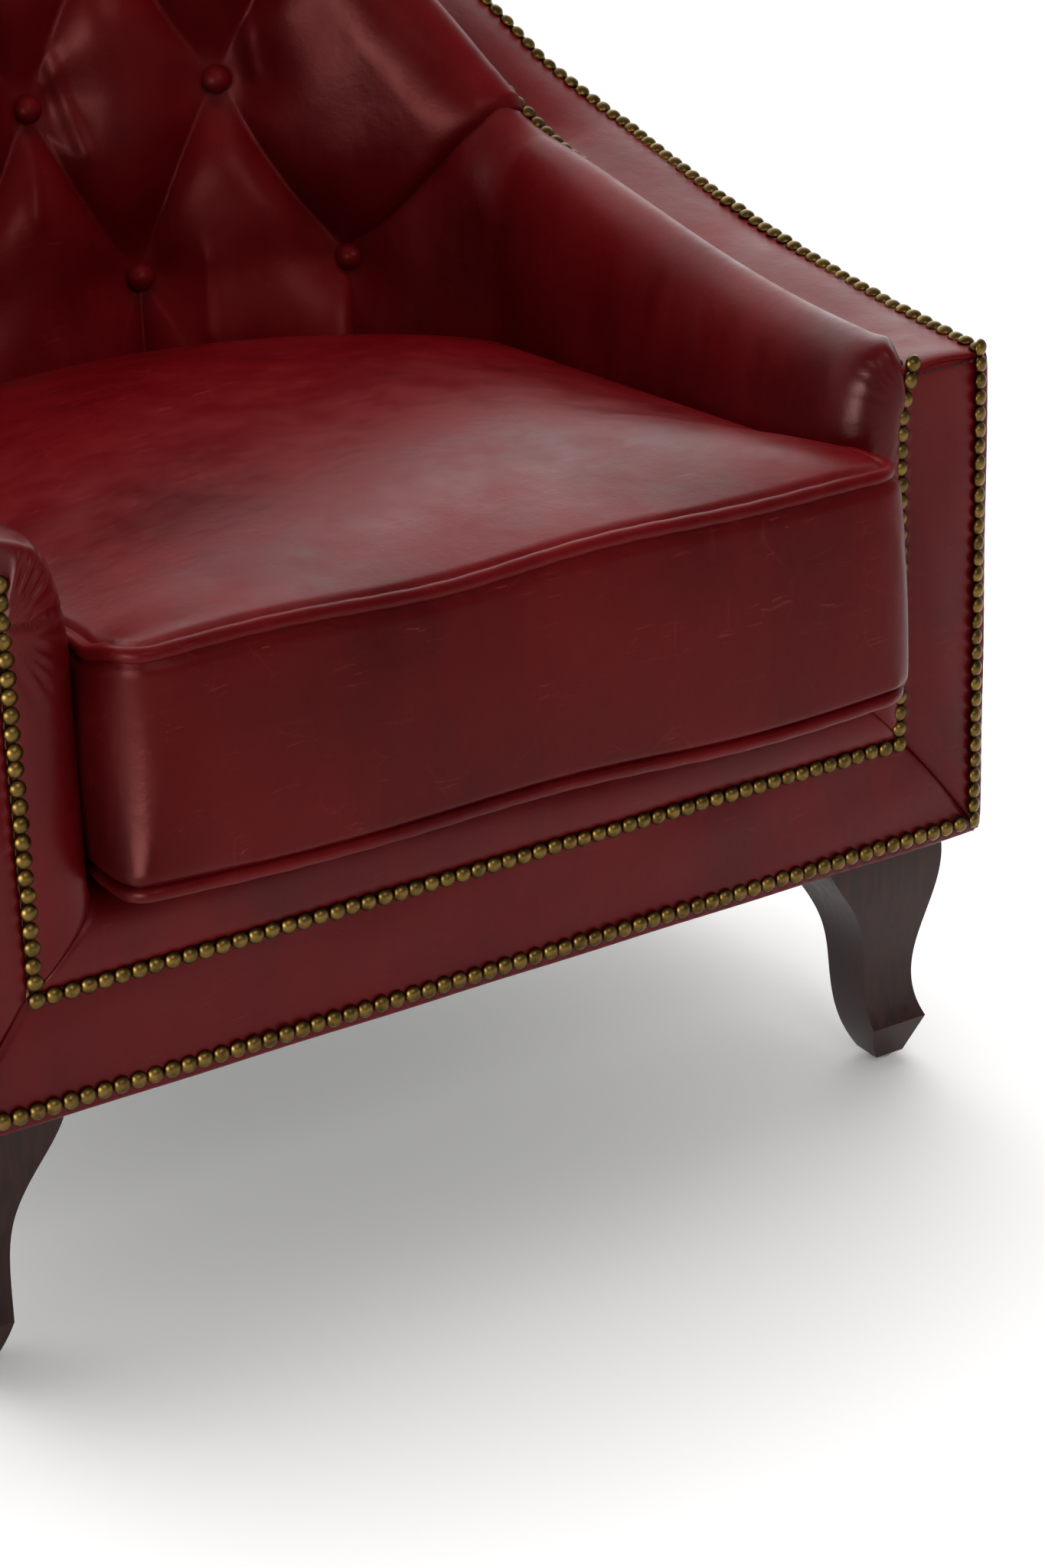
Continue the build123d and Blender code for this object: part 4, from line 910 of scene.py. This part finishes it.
# Front roll: leather lip under the cushion, mitred into the arm rolls
def frontRollRule(u, w):
    shape, turned = lipShape, lipShape["turned"]
    share = frontFullness(w / turned)
    z = wall["padBase"] - shape["lowered"] + lipTall * share
    leftward = smooth(0.5 - u, -0.2, 0.2)
    rightSquare, leftSquare = armShape["right"]["square"], armShape["left"]["square"]
    v = frontProfile(share, rightSquare * (1 - leftward) + leftSquare * leftward)
    v = np.where(w > turned, v + (shape["depth"] - armShape["depth"]) * (w - turned) / (1 - turned), v)
    half = wall["halfWidth"] - wall["bandWidth"] - seamClear - armShape["padWidth"] * share
    x = (2 * u - 1) * half
    v = v + shape["mitreDepth"] * np.exp(-((half - np.abs(x)) / shape["mitreWidth"]) ** 2)
    v = v + shape["wave"] * uneven(x, z, shape["waveSize"], 8)
    return np.stack([x, v + wall["front"], z], -1)


frontRoll = addSheet("frontRoll", lipShape["columns"], lipShape["rows"], frontRollRule)
faceTowards(frontRoll, (0, -1, 0.6))
closeSheet(frontRoll, lipShape["thickness"])
dress(frontRoll, armLeather, "oxblood_leather", "front_roll")
print("front roll done")


# Half of a plan outline inside the walls, from the front middle to the rear middle
def halfOutline(inset, front, corner, flare, flareStart, flareRun, steps=24):
    side = wall["halfWidth"] - inset
    wide = side + flare
    rear = wall["backRadius"] - inset
    bend = max(wall["cornerRadius"] - inset, 0.008)
    bendX = side - bend
    bendY = wall["backCentre"] + math.sqrt((rear - bend) ** 2 - bendX**2)
    angle = math.atan2(bendX, bendY - wall["backCentre"])
    points = [(0.0, front), (wide - corner, front)]
    for i in range(1, steps + 1):
        a = math.pi / 2 * i / steps
        points.append((wide - corner + corner * math.sin(a), front + corner * (1 - math.cos(a))))
    for k in range(11):
        y = front + corner + flareStart + flareRun * k / 10
        points.append((wide - flare * float(smooth(k / 10, 0, 1)), y))
    for i in range(steps + 1):
        a = (math.pi / 2 - angle) * i / steps
        points.append((bendX + bend * math.cos(a), bendY + bend * math.sin(a)))
    for i in range(1, 2 * steps + 1):
        a = angle * (1 - i / (2 * steps))
        points.append((rear * math.sin(a), wall["backCentre"] + rear * math.cos(a)))
    return np.array(points)


# Evenly spaced points of a closed outline, share 0 to 1
def outlineAt(outline, share):
    steps = np.r_[0, np.cumsum(np.hypot(*np.diff(outline, axis=0).T))]
    at = (share % 1.0) * steps[-1]
    return np.stack([np.interp(at, steps, outline[:, 0]), np.interp(at, steps, outline[:, 1])], -1)


# Seat cushion: a boxed foam cushion with a crowned top and corded seams
cushion = {
    "rake": math.radians(4.2), "base": 0.330, "thick": 0.141, "overhang": 0.060, "inset": 0.1248,
    "clear": 0.0055, "leftCorner": 0.017, "rightCorner": 0.021, "leftFlare": 0.003, "rightFlare": 0.018,
    "flareStart": 0.026, "flareRun": 0.036, "rounder": 0.024, "spread": 0.011, "spreadReach": 0.07,
    "spreadFrom": 0.14, "spreadTo": 0.25, "seamRise": 0.002, "seamFoot": 0.001,
    "segments": 300, "rings": 84, "topShare": 0.42, "boxShare": 0.16,
    "allowance": 0.0055, "halfDepth": 0.27, "crown": 0.036, "belly": 0.004, "bulge": 0.002, "weld": 0.0004,
    "voxel": 0.0068, "sewn": 0.012, "underHeld": 0.004, "pressure": 3.5, "quality": 4, "frames": 16,
    "cap": 0.005, "groove": 0.0026, "grooveAt": 0.0052, "grooveWidth": 0.0030, "boxingEdge": 0.006,
}
cushionReach = wall["backCentre"] + wall["backRadius"] - wall["padInset"]
cushionLow = cushion["base"] - cushionReach * math.tan(cushion["rake"]) - cushion["clear"]
cushionOrigin = Vector((0, wall["front"] + slant(cushionLow), cushion["base"]))
cushionFront = -cushion["overhang"] - slant(cushionLow)


# Plan of the cushion; rounder widens its left front corner
def cushionPlan(rounder):
    corners = {"right": cushion["rightCorner"], "left": cushion["leftCorner"] + rounder}
    right, left = [
        halfOutline(cushion["inset"], cushionFront, corner, cushion[side + "Flare"], cushion["flareStart"],
                    cushion["flareRun"])
        for side, corner in corners.items()
    ]
    return np.vstack([right, left[::-1][1:] * [-1, 1]])


cushionOutline = cushionPlan(0.0)
boxingOutline = cushionPlan(cushion["rounder"])
cushionCentre = np.array([0.0, 0.28])


def cushionPoint(x, y, lift):
    c, s = math.cos(cushion["rake"]), math.sin(cushion["rake"])
    return np.stack([x + cushionOrigin.x, cushionOrigin.y + y * c + lift * s,
                     cushionOrigin.z - y * s + lift * c], -1)


# Waves of the seam lines along the front: height, radians for each metre, radians at the middle
seamWaves = {"reach": 0.06, "top": ((0.0022, 13, 0.8), (0.0012, 31, 0.0)), "raised": 0.008,
             "raisedFrom": 0.03, "raisedTo": 0.22, "bottom": ((0.0040, 9.5, 2.6), (0.0016, 24, 1.0)),
             "lifted": 0.006, "liftedAt": -0.27, "liftedWidth": 0.06}


# Rise of a seam line where the filling pushes it about, most at the left front corner
def seamWave(x, y, high):
    behind = y - cushionFront
    near = np.exp(-np.maximum(behind, 0) / seamWaves["reach"])
    line = seamWaves["top" if high else "bottom"]
    waves = sum(tall * np.sin(x * turn + start) for tall, turn, start in line)
    if high:
        leftward = smooth(-x, seamWaves["raisedFrom"], seamWaves["raisedTo"])
        fallen = 1 - 1.3 * smooth(behind, 0.008, 0.06) + 0.3 * smooth(behind, 0.1, 0.2)  # dips at the side
        return near * waves + seamWaves["raised"] * leftward * fallen
    corner = np.exp(-(((x - seamWaves["liftedAt"]) / seamWaves["liftedWidth"]) ** 2))
    return near * (waves + seamWaves["lifted"] * corner)


# Sideways spread of the cushion's foot at its left front corner, by its level from 0 to 1
def footSpread(x, y, level):
    near = np.exp(-np.maximum(y - cushionFront, 0) / cushion["spreadReach"])
    side = smooth(-x, cushion["spreadFrom"], cushion["spreadTo"])
    return -cushion["spread"] * (1 - np.clip(level, 0, 1)) * side * near


# A ball pressed into the boxed form: top panel, boxing and bottom panel from pole to pole
def shapeCushion(piece):
    flat = readPoints(piece)
    topShare, boxShare = cushion["topShare"], cushion["boxShare"]
    boxEnd = topShare + boxShare
    share = (np.arctan2(flat[:, 1], flat[:, 0]) / (2 * math.pi)) % 1.0
    depth = np.arccos(np.clip(flat[:, 2], -1, 1)) / math.pi
    level = np.clip((boxEnd - depth) / boxShare, 0, 1)
    onTop = depth < topShare
    onBox = (depth >= topShare) & (depth <= boxEnd)
    edge = outlineAt(cushionOutline, share)
    soft = np.sin(math.pi * level) ** 0.6 * onBox
    edge = edge + (outlineAt(boxingOutline, share) - edge) * soft[:, None]
    radial = np.where(onTop, depth / topShare, np.where(onBox, 1.0, (1 - depth) / topShare))
    away = edge - cushionCentre
    plan = cushionCentre + away * (radial * (1 + cushion["allowance"] / cushion["halfDepth"]))[:, None]
    swell = cushion["bulge"] * np.sin(math.pi * level) * onBox
    plan = plan + away / np.linalg.norm(away, axis=1)[:, None] * swell[:, None]
    plan[:, 0] += footSpread(plan[:, 0], plan[:, 1], level)
    fill = np.clip(1 - radial**2, 0, 1) ** 0.8
    foot = cushion["seamFoot"]
    crown = cushion["thick"] + cushion["seamRise"] + cushion["crown"] * fill
    belly = foot - cushion["belly"] * fill
    lift = np.where(onTop, crown, np.where(onBox, foot + (cushion["thick"] - foot) * level, belly))
    topWave, bottomWave = (seamWave(plan[:, 0], plan[:, 1], high) for high in (True, False))
    wave = np.where(level > 0.5, topWave, bottomWave)
    lift = lift + wave * np.where(onBox, 1.0, radial**6)
    writePoints(piece, cushionPoint(plan[:, 0], plan[:, 1], lift))


deselect()
bpy.ops.mesh.primitive_uv_sphere_add(segments=cushion["segments"], ring_count=cushion["rings"], radius=1)
seatCushion = bpy.context.active_object
seatCushion.name = seatCushion.data.name = "seatCushion"
shapeCushion(seatCushion)
mergeDoubles(seatCushion, cushion["weld"])


# Distance of a point from the corded seams, in the cushion's own tilted frame
def seamDistance(points):
    c, s = math.cos(cushion["rake"]), math.sin(cushion["rake"])
    local = points - np.array(cushionOrigin)
    y = local[:, 1] * c - local[:, 2] * s
    lift = local[:, 1] * s + local[:, 2] * c
    ring = outlineAt(cushionOutline, np.linspace(0, 1, 900, endpoint=False))
    plan = np.stack([local[:, 0] - footSpread(local[:, 0], y, lift / cushion["thick"]), y], -1)
    gap = np.full(len(points), 9.0)
    batch = 4000
    for first in range(0, len(points), batch):
        part = plan[first:first + batch, None] - ring
        gap[first:first + batch] = np.min(np.hypot(part[..., 0], part[..., 1]), axis=1)
    low = lift - seamWave(local[:, 0], y, False)
    high = lift - cushion["thick"] - seamWave(local[:, 0], y, True)
    return np.hypot(gap, np.minimum(np.abs(low), np.abs(high))), low, high


# The filling swells the cover as cloth, with its seams and its underside held
makeActive(seatCushion)
seatCushion.data.remesh_voxel_size = cushion["voxel"]
bpy.ops.object.voxel_remesh()
rest = readPoints(seatCushion)
seam, low, high = seamDistance(rest)
pins = seatCushion.vertex_groups.new(name="sewn")
held = (seam < cushion["sewn"]) | (low < cushion["underHeld"])
for i in np.nonzero(held)[0]:
    pins.add([int(i)], 1.0, "REPLACE")
cloth = seatCushion.modifiers.new("Cloth", "CLOTH")
cloth.settings.use_pressure = True
cloth.settings.uniform_pressure_force = cushion["pressure"]
cloth.settings.vertex_group_mass = "sewn"
cloth.settings.quality = cushion["quality"]
cloth.settings.effector_weights.gravity = 0
cloth.point_cache.frame_end = cushion["frames"]
for step in range(1, cushion["frames"] + 1):
    bpy.context.scene.frame_set(step)
makeActive(seatCushion)
bpy.ops.object.modifier_apply(modifier="Cloth")
bpy.context.scene.frame_set(1)
moved = readPoints(seatCushion) - rest
far = np.linalg.norm(moved, axis=1)
print("cushion swelled, largest move", round(float(far.max()) * 1000, 1), "mm")
moved *= np.minimum(1, cushion["cap"] / np.maximum(far, 1e-9))[:, None]
writePoints(seatCushion, rest + moved)
useModifier(seatCushion, "SMOOTH", factor=0.5, iterations=2)
useModifier(seatCushion, "SUBSURF", levels=1, render_levels=1)

# The leather is drawn in on both sides of each corded seam, and the upright boxing faces are marked for
# painted shade: the seat leather is darkened there for the dim light they catch, partly also as a darker hide
points = readPoints(seatCushion)
seam, low, high = seamDistance(points)
outward = np.zeros(len(points) * 3)
seatCushion.data.vertex_normals.foreach_get("vector", outward)
outward = outward.reshape(-1, 3)
drawn = cushion["groove"] * np.exp(-(((seam - cushion["grooveAt"]) / cushion["grooveWidth"]) ** 2))
writePoints(seatCushion, points - outward * drawn[:, None])
# painted shade mask: 1 on the upright boxing faces between the two seams, 0 on faces turned up or down
boxing = smooth(low, 0.0, cushion["boxingEdge"]) * smooth(-high, 0.0, cushion["boxingEdge"])
boxing *= 1 - smooth(np.abs(outward[:, 2]), 0.5, 0.8)
seatCushion.data.attributes.new("boxing", "FLOAT", "POINT").data.foreach_set("value", boxing)
seatCushion.data.shade_smooth()
dress(seatCushion, seatLeather, "oxblood_leather", "cushion_boxing", "cushion_top_panel",
      "cushion_bottom_panel", "cushion_core", body="seat_cushion")
print("cushion done")

# Cords sewn into the cushion's seams, let into it behind the arms' fronts
weltShape = {"radius": 0.0050, "steps": 520, "sides": 14, "weld": 0.00005, "twist": 0.03,
             "sunkFrom": 0.06, "sunkTo": 0.20, "sunk": 0.016, "topDrop": -0.005, "bottomRise": 0.004}


def makeWelt(name, high):
    shape, steps = weltShape, weltShape["steps"]
    ring = outlineAt(cushionOutline, np.linspace(0, 1, steps, endpoint=False))
    lift = (cushion["thick"] if high else 0.0) + seamWave(ring[:, 0], ring[:, 1], high)
    sunk = smooth(ring[:, 1], cushionFront + shape["sunkFrom"], cushionFront + shape["sunkTo"])
    ring = cushionCentre + (ring - cushionCentre) * (1 - shape["sunk"] * sunk[:, None])
    ring[:, 0] += footSpread(ring[:, 0], ring[:, 1], 1.0 if high else 0.0)
    lift = lift + (shape["topDrop"] if high else shape["bottomRise"]) * sunk
    path = cushionPoint(ring[:, 0], ring[:, 1], lift)
    ahead = np.roll(path, -1, 0) - np.roll(path, 1, 0)
    ahead /= np.linalg.norm(ahead, axis=1)[:, None]
    across = np.cross(ahead, [0, math.sin(cushion["rake"]), math.cos(cushion["rake"])])
    across /= np.linalg.norm(across, axis=1)[:, None]
    above = np.cross(across, ahead)

    def tube(u, w):
        i = np.round(u * steps).astype(int) % steps
        a = 2 * math.pi * w
        r = shape["radius"] * (1 + shape["twist"] * np.sin(i * 0.9))
        return path[i] + across[i] * (r * np.cos(a))[:, None] + above[i] * (r * np.sin(a))[:, None]

    welt = addSheet(name, steps, shape["sides"], tube)
    mergeDoubles(welt, shape["weld"])
    welt.data.shade_smooth()
    return welt


topWelt = makeWelt("topWelt", True)
bottomWelt = makeWelt("bottomWelt", False)
dress(topWelt, seatLeather, "oxblood_leather", "cushion_top_welt", body="seat_cushion")
dress(bottomWelt, seatLeather, "oxblood_leather", "cushion_bottom_welt", body="seat_cushion")
print("welts done")

# Seat deck: flat padded platform under the cushion
deckShape = {"steps": 90, "inset": wall["padInset"] + 0.0012, "front": 0.0445, "corner": 0.006,
             "sideRun": 0.045, "gap": 0.0068, "edgeDrop": 0.006, "thickness": 0.022}


def deckRule(u, w):
    plan = halfOutline(deckShape["inset"], deckShape["front"], deckShape["corner"], 0.0, 0.0,
                       deckShape["sideRun"])
    y = plan[0, 1] + (plan[-1, 1] - plan[0, 1]) * (0.5 - 0.5 * np.cos(math.pi * w))
    x = (2 * u - 1) * np.interp(y, plan[1:, 1], plan[1:, 0])
    edge = np.minimum(1 - np.abs(2 * u - 1), np.minimum(w, 1 - w) * 2) * 0.25
    return cushionPoint(x, y, -deckShape["gap"] - deckShape["edgeDrop"] * np.exp(-edge / 0.01))


seatDeck = addSheet("seatDeck", deckShape["steps"], deckShape["steps"], deckRule)
faceTowards(seatDeck, (0, 0, 1))
closeSheet(seatDeck, deckShape["thickness"])
dress(seatDeck, armLeather, "oxblood_leather", "seat_deck")
print("deck done")

# Outside covers: leather stretched over the outside of the arms and back
outsideShape = {
    "armGrid": (110, 60), "backGrid": (180, 90), "thickness": 0.0025, "armStart": 0.0035, "seamGap": 0.0005,
    "topGap": 0.0035, "inset": 0.0004, "seamTuck": 0.0022, "footTuck": 0.0020, "tuckWidth": 0.004,
    "slack": 0.0006, "slackSize": 0.3, "bulge": 0.0045,
    "welt": 0.0042, "weltGrid": (120, 14), "weltInset": 0.0012, "weltTop": 0.004, "weld": 0.00005,
}


def outsideRule(first, last):
    shape = outsideShape

    def rule(u, w):
        run = first + (last - first) * u
        top = swoop(run) - shape["topGap"]
        z = wall["bandBase"] + (top - wall["bandBase"]) * w
        ends = np.minimum(u, 1 - u) * (last - first)
        tuck = shape["seamTuck"] * np.exp(-ends / shape["tuckWidth"])
        tuck = tuck + shape["footTuck"] * np.exp(-(z - wall["bandBase"]) / shape["tuckWidth"])
        full = shape["bulge"] * np.sin(math.pi * w) ** 0.8 * smooth(ends, -0.002, 0.02)
        slack = shape["slack"] * uneven(run, z, shape["slackSize"], 6)
        return wallPoint(run, shape["inset"] + tuck - full - slack, z)
    return rule


seamGap = outsideShape["seamGap"]
rightOutside = addSheet("rightOutsideArm", *outsideShape["armGrid"],
                        outsideRule(outsideShape["armStart"], cornerEnd - seamGap))
faceTowards(rightOutside, (1, 0, 0))
closeSheet(rightOutside, outsideShape["thickness"])
leftOutside = mirrored(rightOutside, "leftOutsideArm")
outsideBack = addSheet("outsideBack", *outsideShape["backGrid"],
                       outsideRule(cornerEnd + seamGap, 2 * halfRun - cornerEnd - seamGap))
faceTowards(outsideBack, (0, 1, 0))
closeSheet(outsideBack, outsideShape["thickness"])
dress(rightOutside, outsideLeather, "oxblood_leather", "right_outside_arm")
dress(leftOutside, outsideLeather, "oxblood_leather", "left_outside_arm")
dress(outsideBack, outsideLeather, "oxblood_leather", "outside_back")


# Cord in the seam between an outside arm and the outside back, drawn to a point at both ends
def outsideWeltRule(u, w):
    top = float(swoop(cornerEnd)) - outsideShape["weltTop"]
    middle = wallPoint(cornerEnd, outsideShape["weltInset"], wall["bandBase"] + (top - wall["bandBase"]) * u)
    angle = 2 * math.pi * w
    outward = np.array([math.sin(junction), math.cos(junction), 0.0])
    sideways = np.array([math.cos(junction), -math.sin(junction), 0.0])
    r = outsideShape["welt"] * np.sqrt(np.clip(1 - (2 * u - 1) ** 60, 0.0, 1))
    return middle + outward * (r * np.cos(angle))[:, None] + sideways * (r * np.sin(angle))[:, None]


rightOutsideWelt = addSheet("rightOutsideWelt", *outsideShape["weltGrid"], outsideWeltRule)
mergeDoubles(rightOutsideWelt, outsideShape["weld"])
rightOutsideWelt.data.shade_smooth()
leftOutsideWelt = mirrored(rightOutsideWelt, "leftOutsideWelt")
for outsideWelt in (rightOutsideWelt, leftOutsideWelt):
    dress(outsideWelt, outsideLeather, "oxblood_leather")
print("outside covers done")

# Nailheads: one domed head, copied along every nailed edge
nail = {
    "radius": 0.0058, "height": 0.0043, "segments": 12, "rings": 8, "pitch": 0.011, "jitter": 0.0002,
    "tilt": 0.03, "edge": 0.0095, "lower": 0.0115, "innerX": 0.307, "innerDrop": 0.003, "proud": 0.0012,
    "columnTop": 0.0035, "outerInset": 0.0062, "innerInset": 0.0665, "lift": 0.0002,
    "outerStart": 0.006, "innerStart": 0.012, "pastSeam": 0.004, "cornerTurn": 0.4,
}
nailHead = addDome(nail["segments"], nail["rings"], 0, nail["radius"], nail["height"])
domeShare = np.clip(readPoints(nailHead)[:, 2] / nail["height"], 0, 1)
nailHead.data.attributes.new("dome", "FLOAT", "POINT").data.foreach_set("value", domeShare)


# Even spacing along a line of 3-D points
def spaced(points, pitch):
    steps = np.r_[0, np.cumsum(np.linalg.norm(np.diff(points, axis=0), axis=1))]
    count = int(round(steps[-1] / pitch))
    at = np.linspace(0, steps[-1], count + 1)
    return np.stack([np.interp(at, steps, points[:, k]) for k in range(3)], -1)


def nailRow(name, spots, normals):
    heads = []
    for spot, normal in zip(spots, normals):
        head = copied(nailHead)
        away = Vector(normal) + Vector(rng.normal(0, nail["tilt"], 3))
        placeAt(head, Vector(spot) + Vector(rng.normal(0, nail["jitter"], 3)), away)
        heads.append(head)
    dress(joinPieces(heads, name), nailBrass, None)


# A straight row on the front border, between two points given across and up
def borderNails(x0, z0, x1, z1):
    y = wall["front"] - nail["proud"]
    return spaced(np.array([(x0, y, z0), (x1, y, z1)], float), nail["pitch"])


columnTop = wall["armTop"] + nail["columnTop"]
innerX, outerX = nail["innerX"], wall["halfWidth"] - nail["edge"]
innerZ, outerZ = wall["mitreTop"] - nail["innerDrop"], wall["bandBase"] + nail["lower"]
frontSpots = [borderNails(-innerX, innerZ, innerX, innerZ), borderNails(-outerX, outerZ, outerX, outerZ)]
for side, stuffing in ((1, armShape["right"]), (-1, armShape["left"])):
    column = borderNails(side * innerX, innerZ, side * innerX, columnTop)[1:]
    column[:, 0] += side * stuffing["lean"] * smooth(column[:, 2], armShape["leanFrom"], armShape["leanTo"])
    frontSpots += [column, borderNails(side * outerX, outerZ, side * outerX, columnTop)[1:]]
frontSpots = np.vstack(frontSpots)
frontNormals = np.tile((0.0, -1.0, 0.0), (len(frontSpots), 1))
onEdge = np.abs(frontSpots[:, 0]) > outerX - 0.002
frontNormals[:, 0] = np.where(onEdge, nail["cornerTurn"] * np.sign(frontSpots[:, 0]), 0.0)
nailRow("frontNails", frontSpots, frontNormals)


def bandNails(name, inset, first, last):
    small = 0.002
    runs = np.linspace(first, last, 1600)
    line = wallPoint(runs, inset, swoop(runs) + nail["lift"])
    spots = spaced(line, nail["pitch"])
    r = runs[[np.argmin(np.sum((line - p) ** 2, 1)) for p in spots]]
    ahead = wallPoint(r + small, inset, swoop(r + small)) - wallPoint(r - small, inset, swoop(r - small))
    across = wallPoint(r, inset + small, swoop(r)) - wallPoint(r, inset, swoop(r))
    normal = np.cross(ahead, across)
    normal *= np.where(normal[:, 2:] < 0, -1, 1) / np.linalg.norm(normal, axis=1)[:, None]
    nailRow(name, spots, normal)


endRun, seamEnd = 2 * halfRun, tufts["seamTopRun"] + nail["pastSeam"]
bandNails("outerTopNails", nail["outerInset"], nail["outerStart"], endRun - nail["outerStart"])
bandNails("rightTopNails", nail["innerInset"], nail["innerStart"], seamEnd)
bandNails("leftTopNails", nail["innerInset"], endRun - seamEnd, endRun - nail["innerStart"])
bpy.data.objects.remove(nailHead)
print("nails done")

# Stitches where the top band meets the arm band
stitch = {"length": 0.0046, "radius": 0.0008, "pitch": 0.0058, "count": 10, "edge": 0.010, "proud": 0.0009,
          "drop": 0.0045}
deselect()
bpy.ops.mesh.primitive_uv_sphere_add(segments=8, ring_count=6, radius=1)
oneStitch = bpy.context.active_object
oneStitch.data.transform(Matrix.Diagonal((stitch["length"] / 2, stitch["radius"], stitch["radius"], 1)))
oneStitch.data.shade_smooth()
stitches = []
for side in (1, -1):
    for k in range(stitch["count"]):
        x = side * (wall["halfWidth"] - stitch["edge"] - k * stitch["pitch"])
        copy = copied(oneStitch)
        copy.data.transform(Matrix.Translation((x, wall["front"] - stitch["proud"],
                                                wall["armTop"] - stitch["drop"])))
        stitches.append(copy)
bpy.data.objects.remove(oneStitch)
stitchRow = joinPieces(stitches, "cornerStitches")
dress(stitchRow, thread, "oxblood_leather")
print("stitches done")

# Stage: pale floor, soft light, and the camera of the photograph
stage = {
    "floor": "#fbfaf9", "floorSize": 40, "glow": 0.10,
    "backdrop": ((0.0, 0.24), (0.62, 0.36), (0.88, 2.6)),  # brightness from the front round to the rear
}
softBoxes = {
    "overheadBox": {"place": (0.2, 0.1, 2.7), "target": (0, -0.05, 0.48), "size": (2.6, 2.2), "power": 52.0,
                    "glossy": False, "diffuse": True},
    "leftBox": {"place": (-2.3, -1.25, 0.58), "target": (0, -0.3, 0.42), "size": (1.4, 1.0), "power": 60.0,
                "glossy": True, "diffuse": False},
    "frontBox": {"place": (-0.3, -3.2, 2.3), "target": (0, 0, 0.4), "size": (1.6, 1.2), "power": 24.0,
                 "glossy": True, "diffuse": True},
}
deselect()
bpy.ops.mesh.primitive_plane_add(size=stage["floorSize"])
floor = bpy.context.active_object
floor.name = "floor"
floorColour = hexColour(stage["floor"])
floorPaint, _, _ = newMaterial("paleFloor", Roughness=0.9, Base_Color=floorColour, Emission_Color=floorColour,
                               Emission_Strength=stage["glow"])
paint(floor, floorPaint)
floor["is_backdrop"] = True

bpy.context.scene.view_settings.view_transform = "Standard"
world = bpy.data.worlds.new("studio")
bpy.context.scene.world = world
world.use_nodes = True
sky = world.node_tree
direction = addNode(sky, "ShaderNodeTexCoord").outputs["Generated"]
facing = addNode(sky, "ShaderNodeSeparateXYZ", {"Vector": direction})
share = addNode(sky, "ShaderNodeMath", {0: facing.outputs["Y"], 1: 0.5, 2: 0.5}, operation="MULTIPLY_ADD")
backdrop = addNode(sky, "ShaderNodeValToRGB", {"Fac": share.outputs["Value"]}, stage["backdrop"])
sky.links.new(backdrop.outputs["Color"], sky.nodes["Background"].inputs["Color"])
for boxName, box in softBoxes.items():
    deselect()
    bpy.ops.object.light_add(type="AREA", location=box["place"])
    lamp = bpy.context.active_object
    lamp.name = boxName
    lamp.data.shape = "RECTANGLE"
    lamp.data.size, lamp.data.size_y = box["size"]
    lamp.data.energy = box["power"]
    lamp.visible_glossy, lamp.visible_diffuse = box["glossy"], box["diffuse"]
    lamp.rotation_euler = (Vector(box["target"]) - Vector(box["place"])).to_track_quat("-Z", "Y").to_euler()

view = {"place": (-1.128, wall["front"] - 1.9017, 1.3168), "azimuth": 31.20, "pitch": 24.32, "roll": -2.006,
        "focalPixels": 5252.34, "longSide": 2048, "sensor": 36.0}
az, pitch, roll = (math.radians(view[k]) for k in ("azimuth", "pitch", "roll"))
heading = Vector((math.sin(az) * math.cos(pitch), math.cos(az) * math.cos(pitch), -math.sin(pitch)))
right = Vector((math.cos(az), -math.sin(az), 0))
up = right.cross(heading)
tiltedRight = math.cos(roll) * right + math.sin(roll) * up
tiltedUp = math.cos(roll) * up - math.sin(roll) * right
deselect()
bpy.ops.object.camera_add(location=view["place"])
camera = bpy.context.active_object
camera.data.sensor_width = view["sensor"]
camera.data.lens = view["focalPixels"] / view["longSide"] * view["sensor"]
camera.rotation_euler = Matrix((tiltedRight, tiltedUp, -heading)).transposed().to_euler()
bpy.context.scene.camera = camera
print("stage done")

low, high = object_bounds()
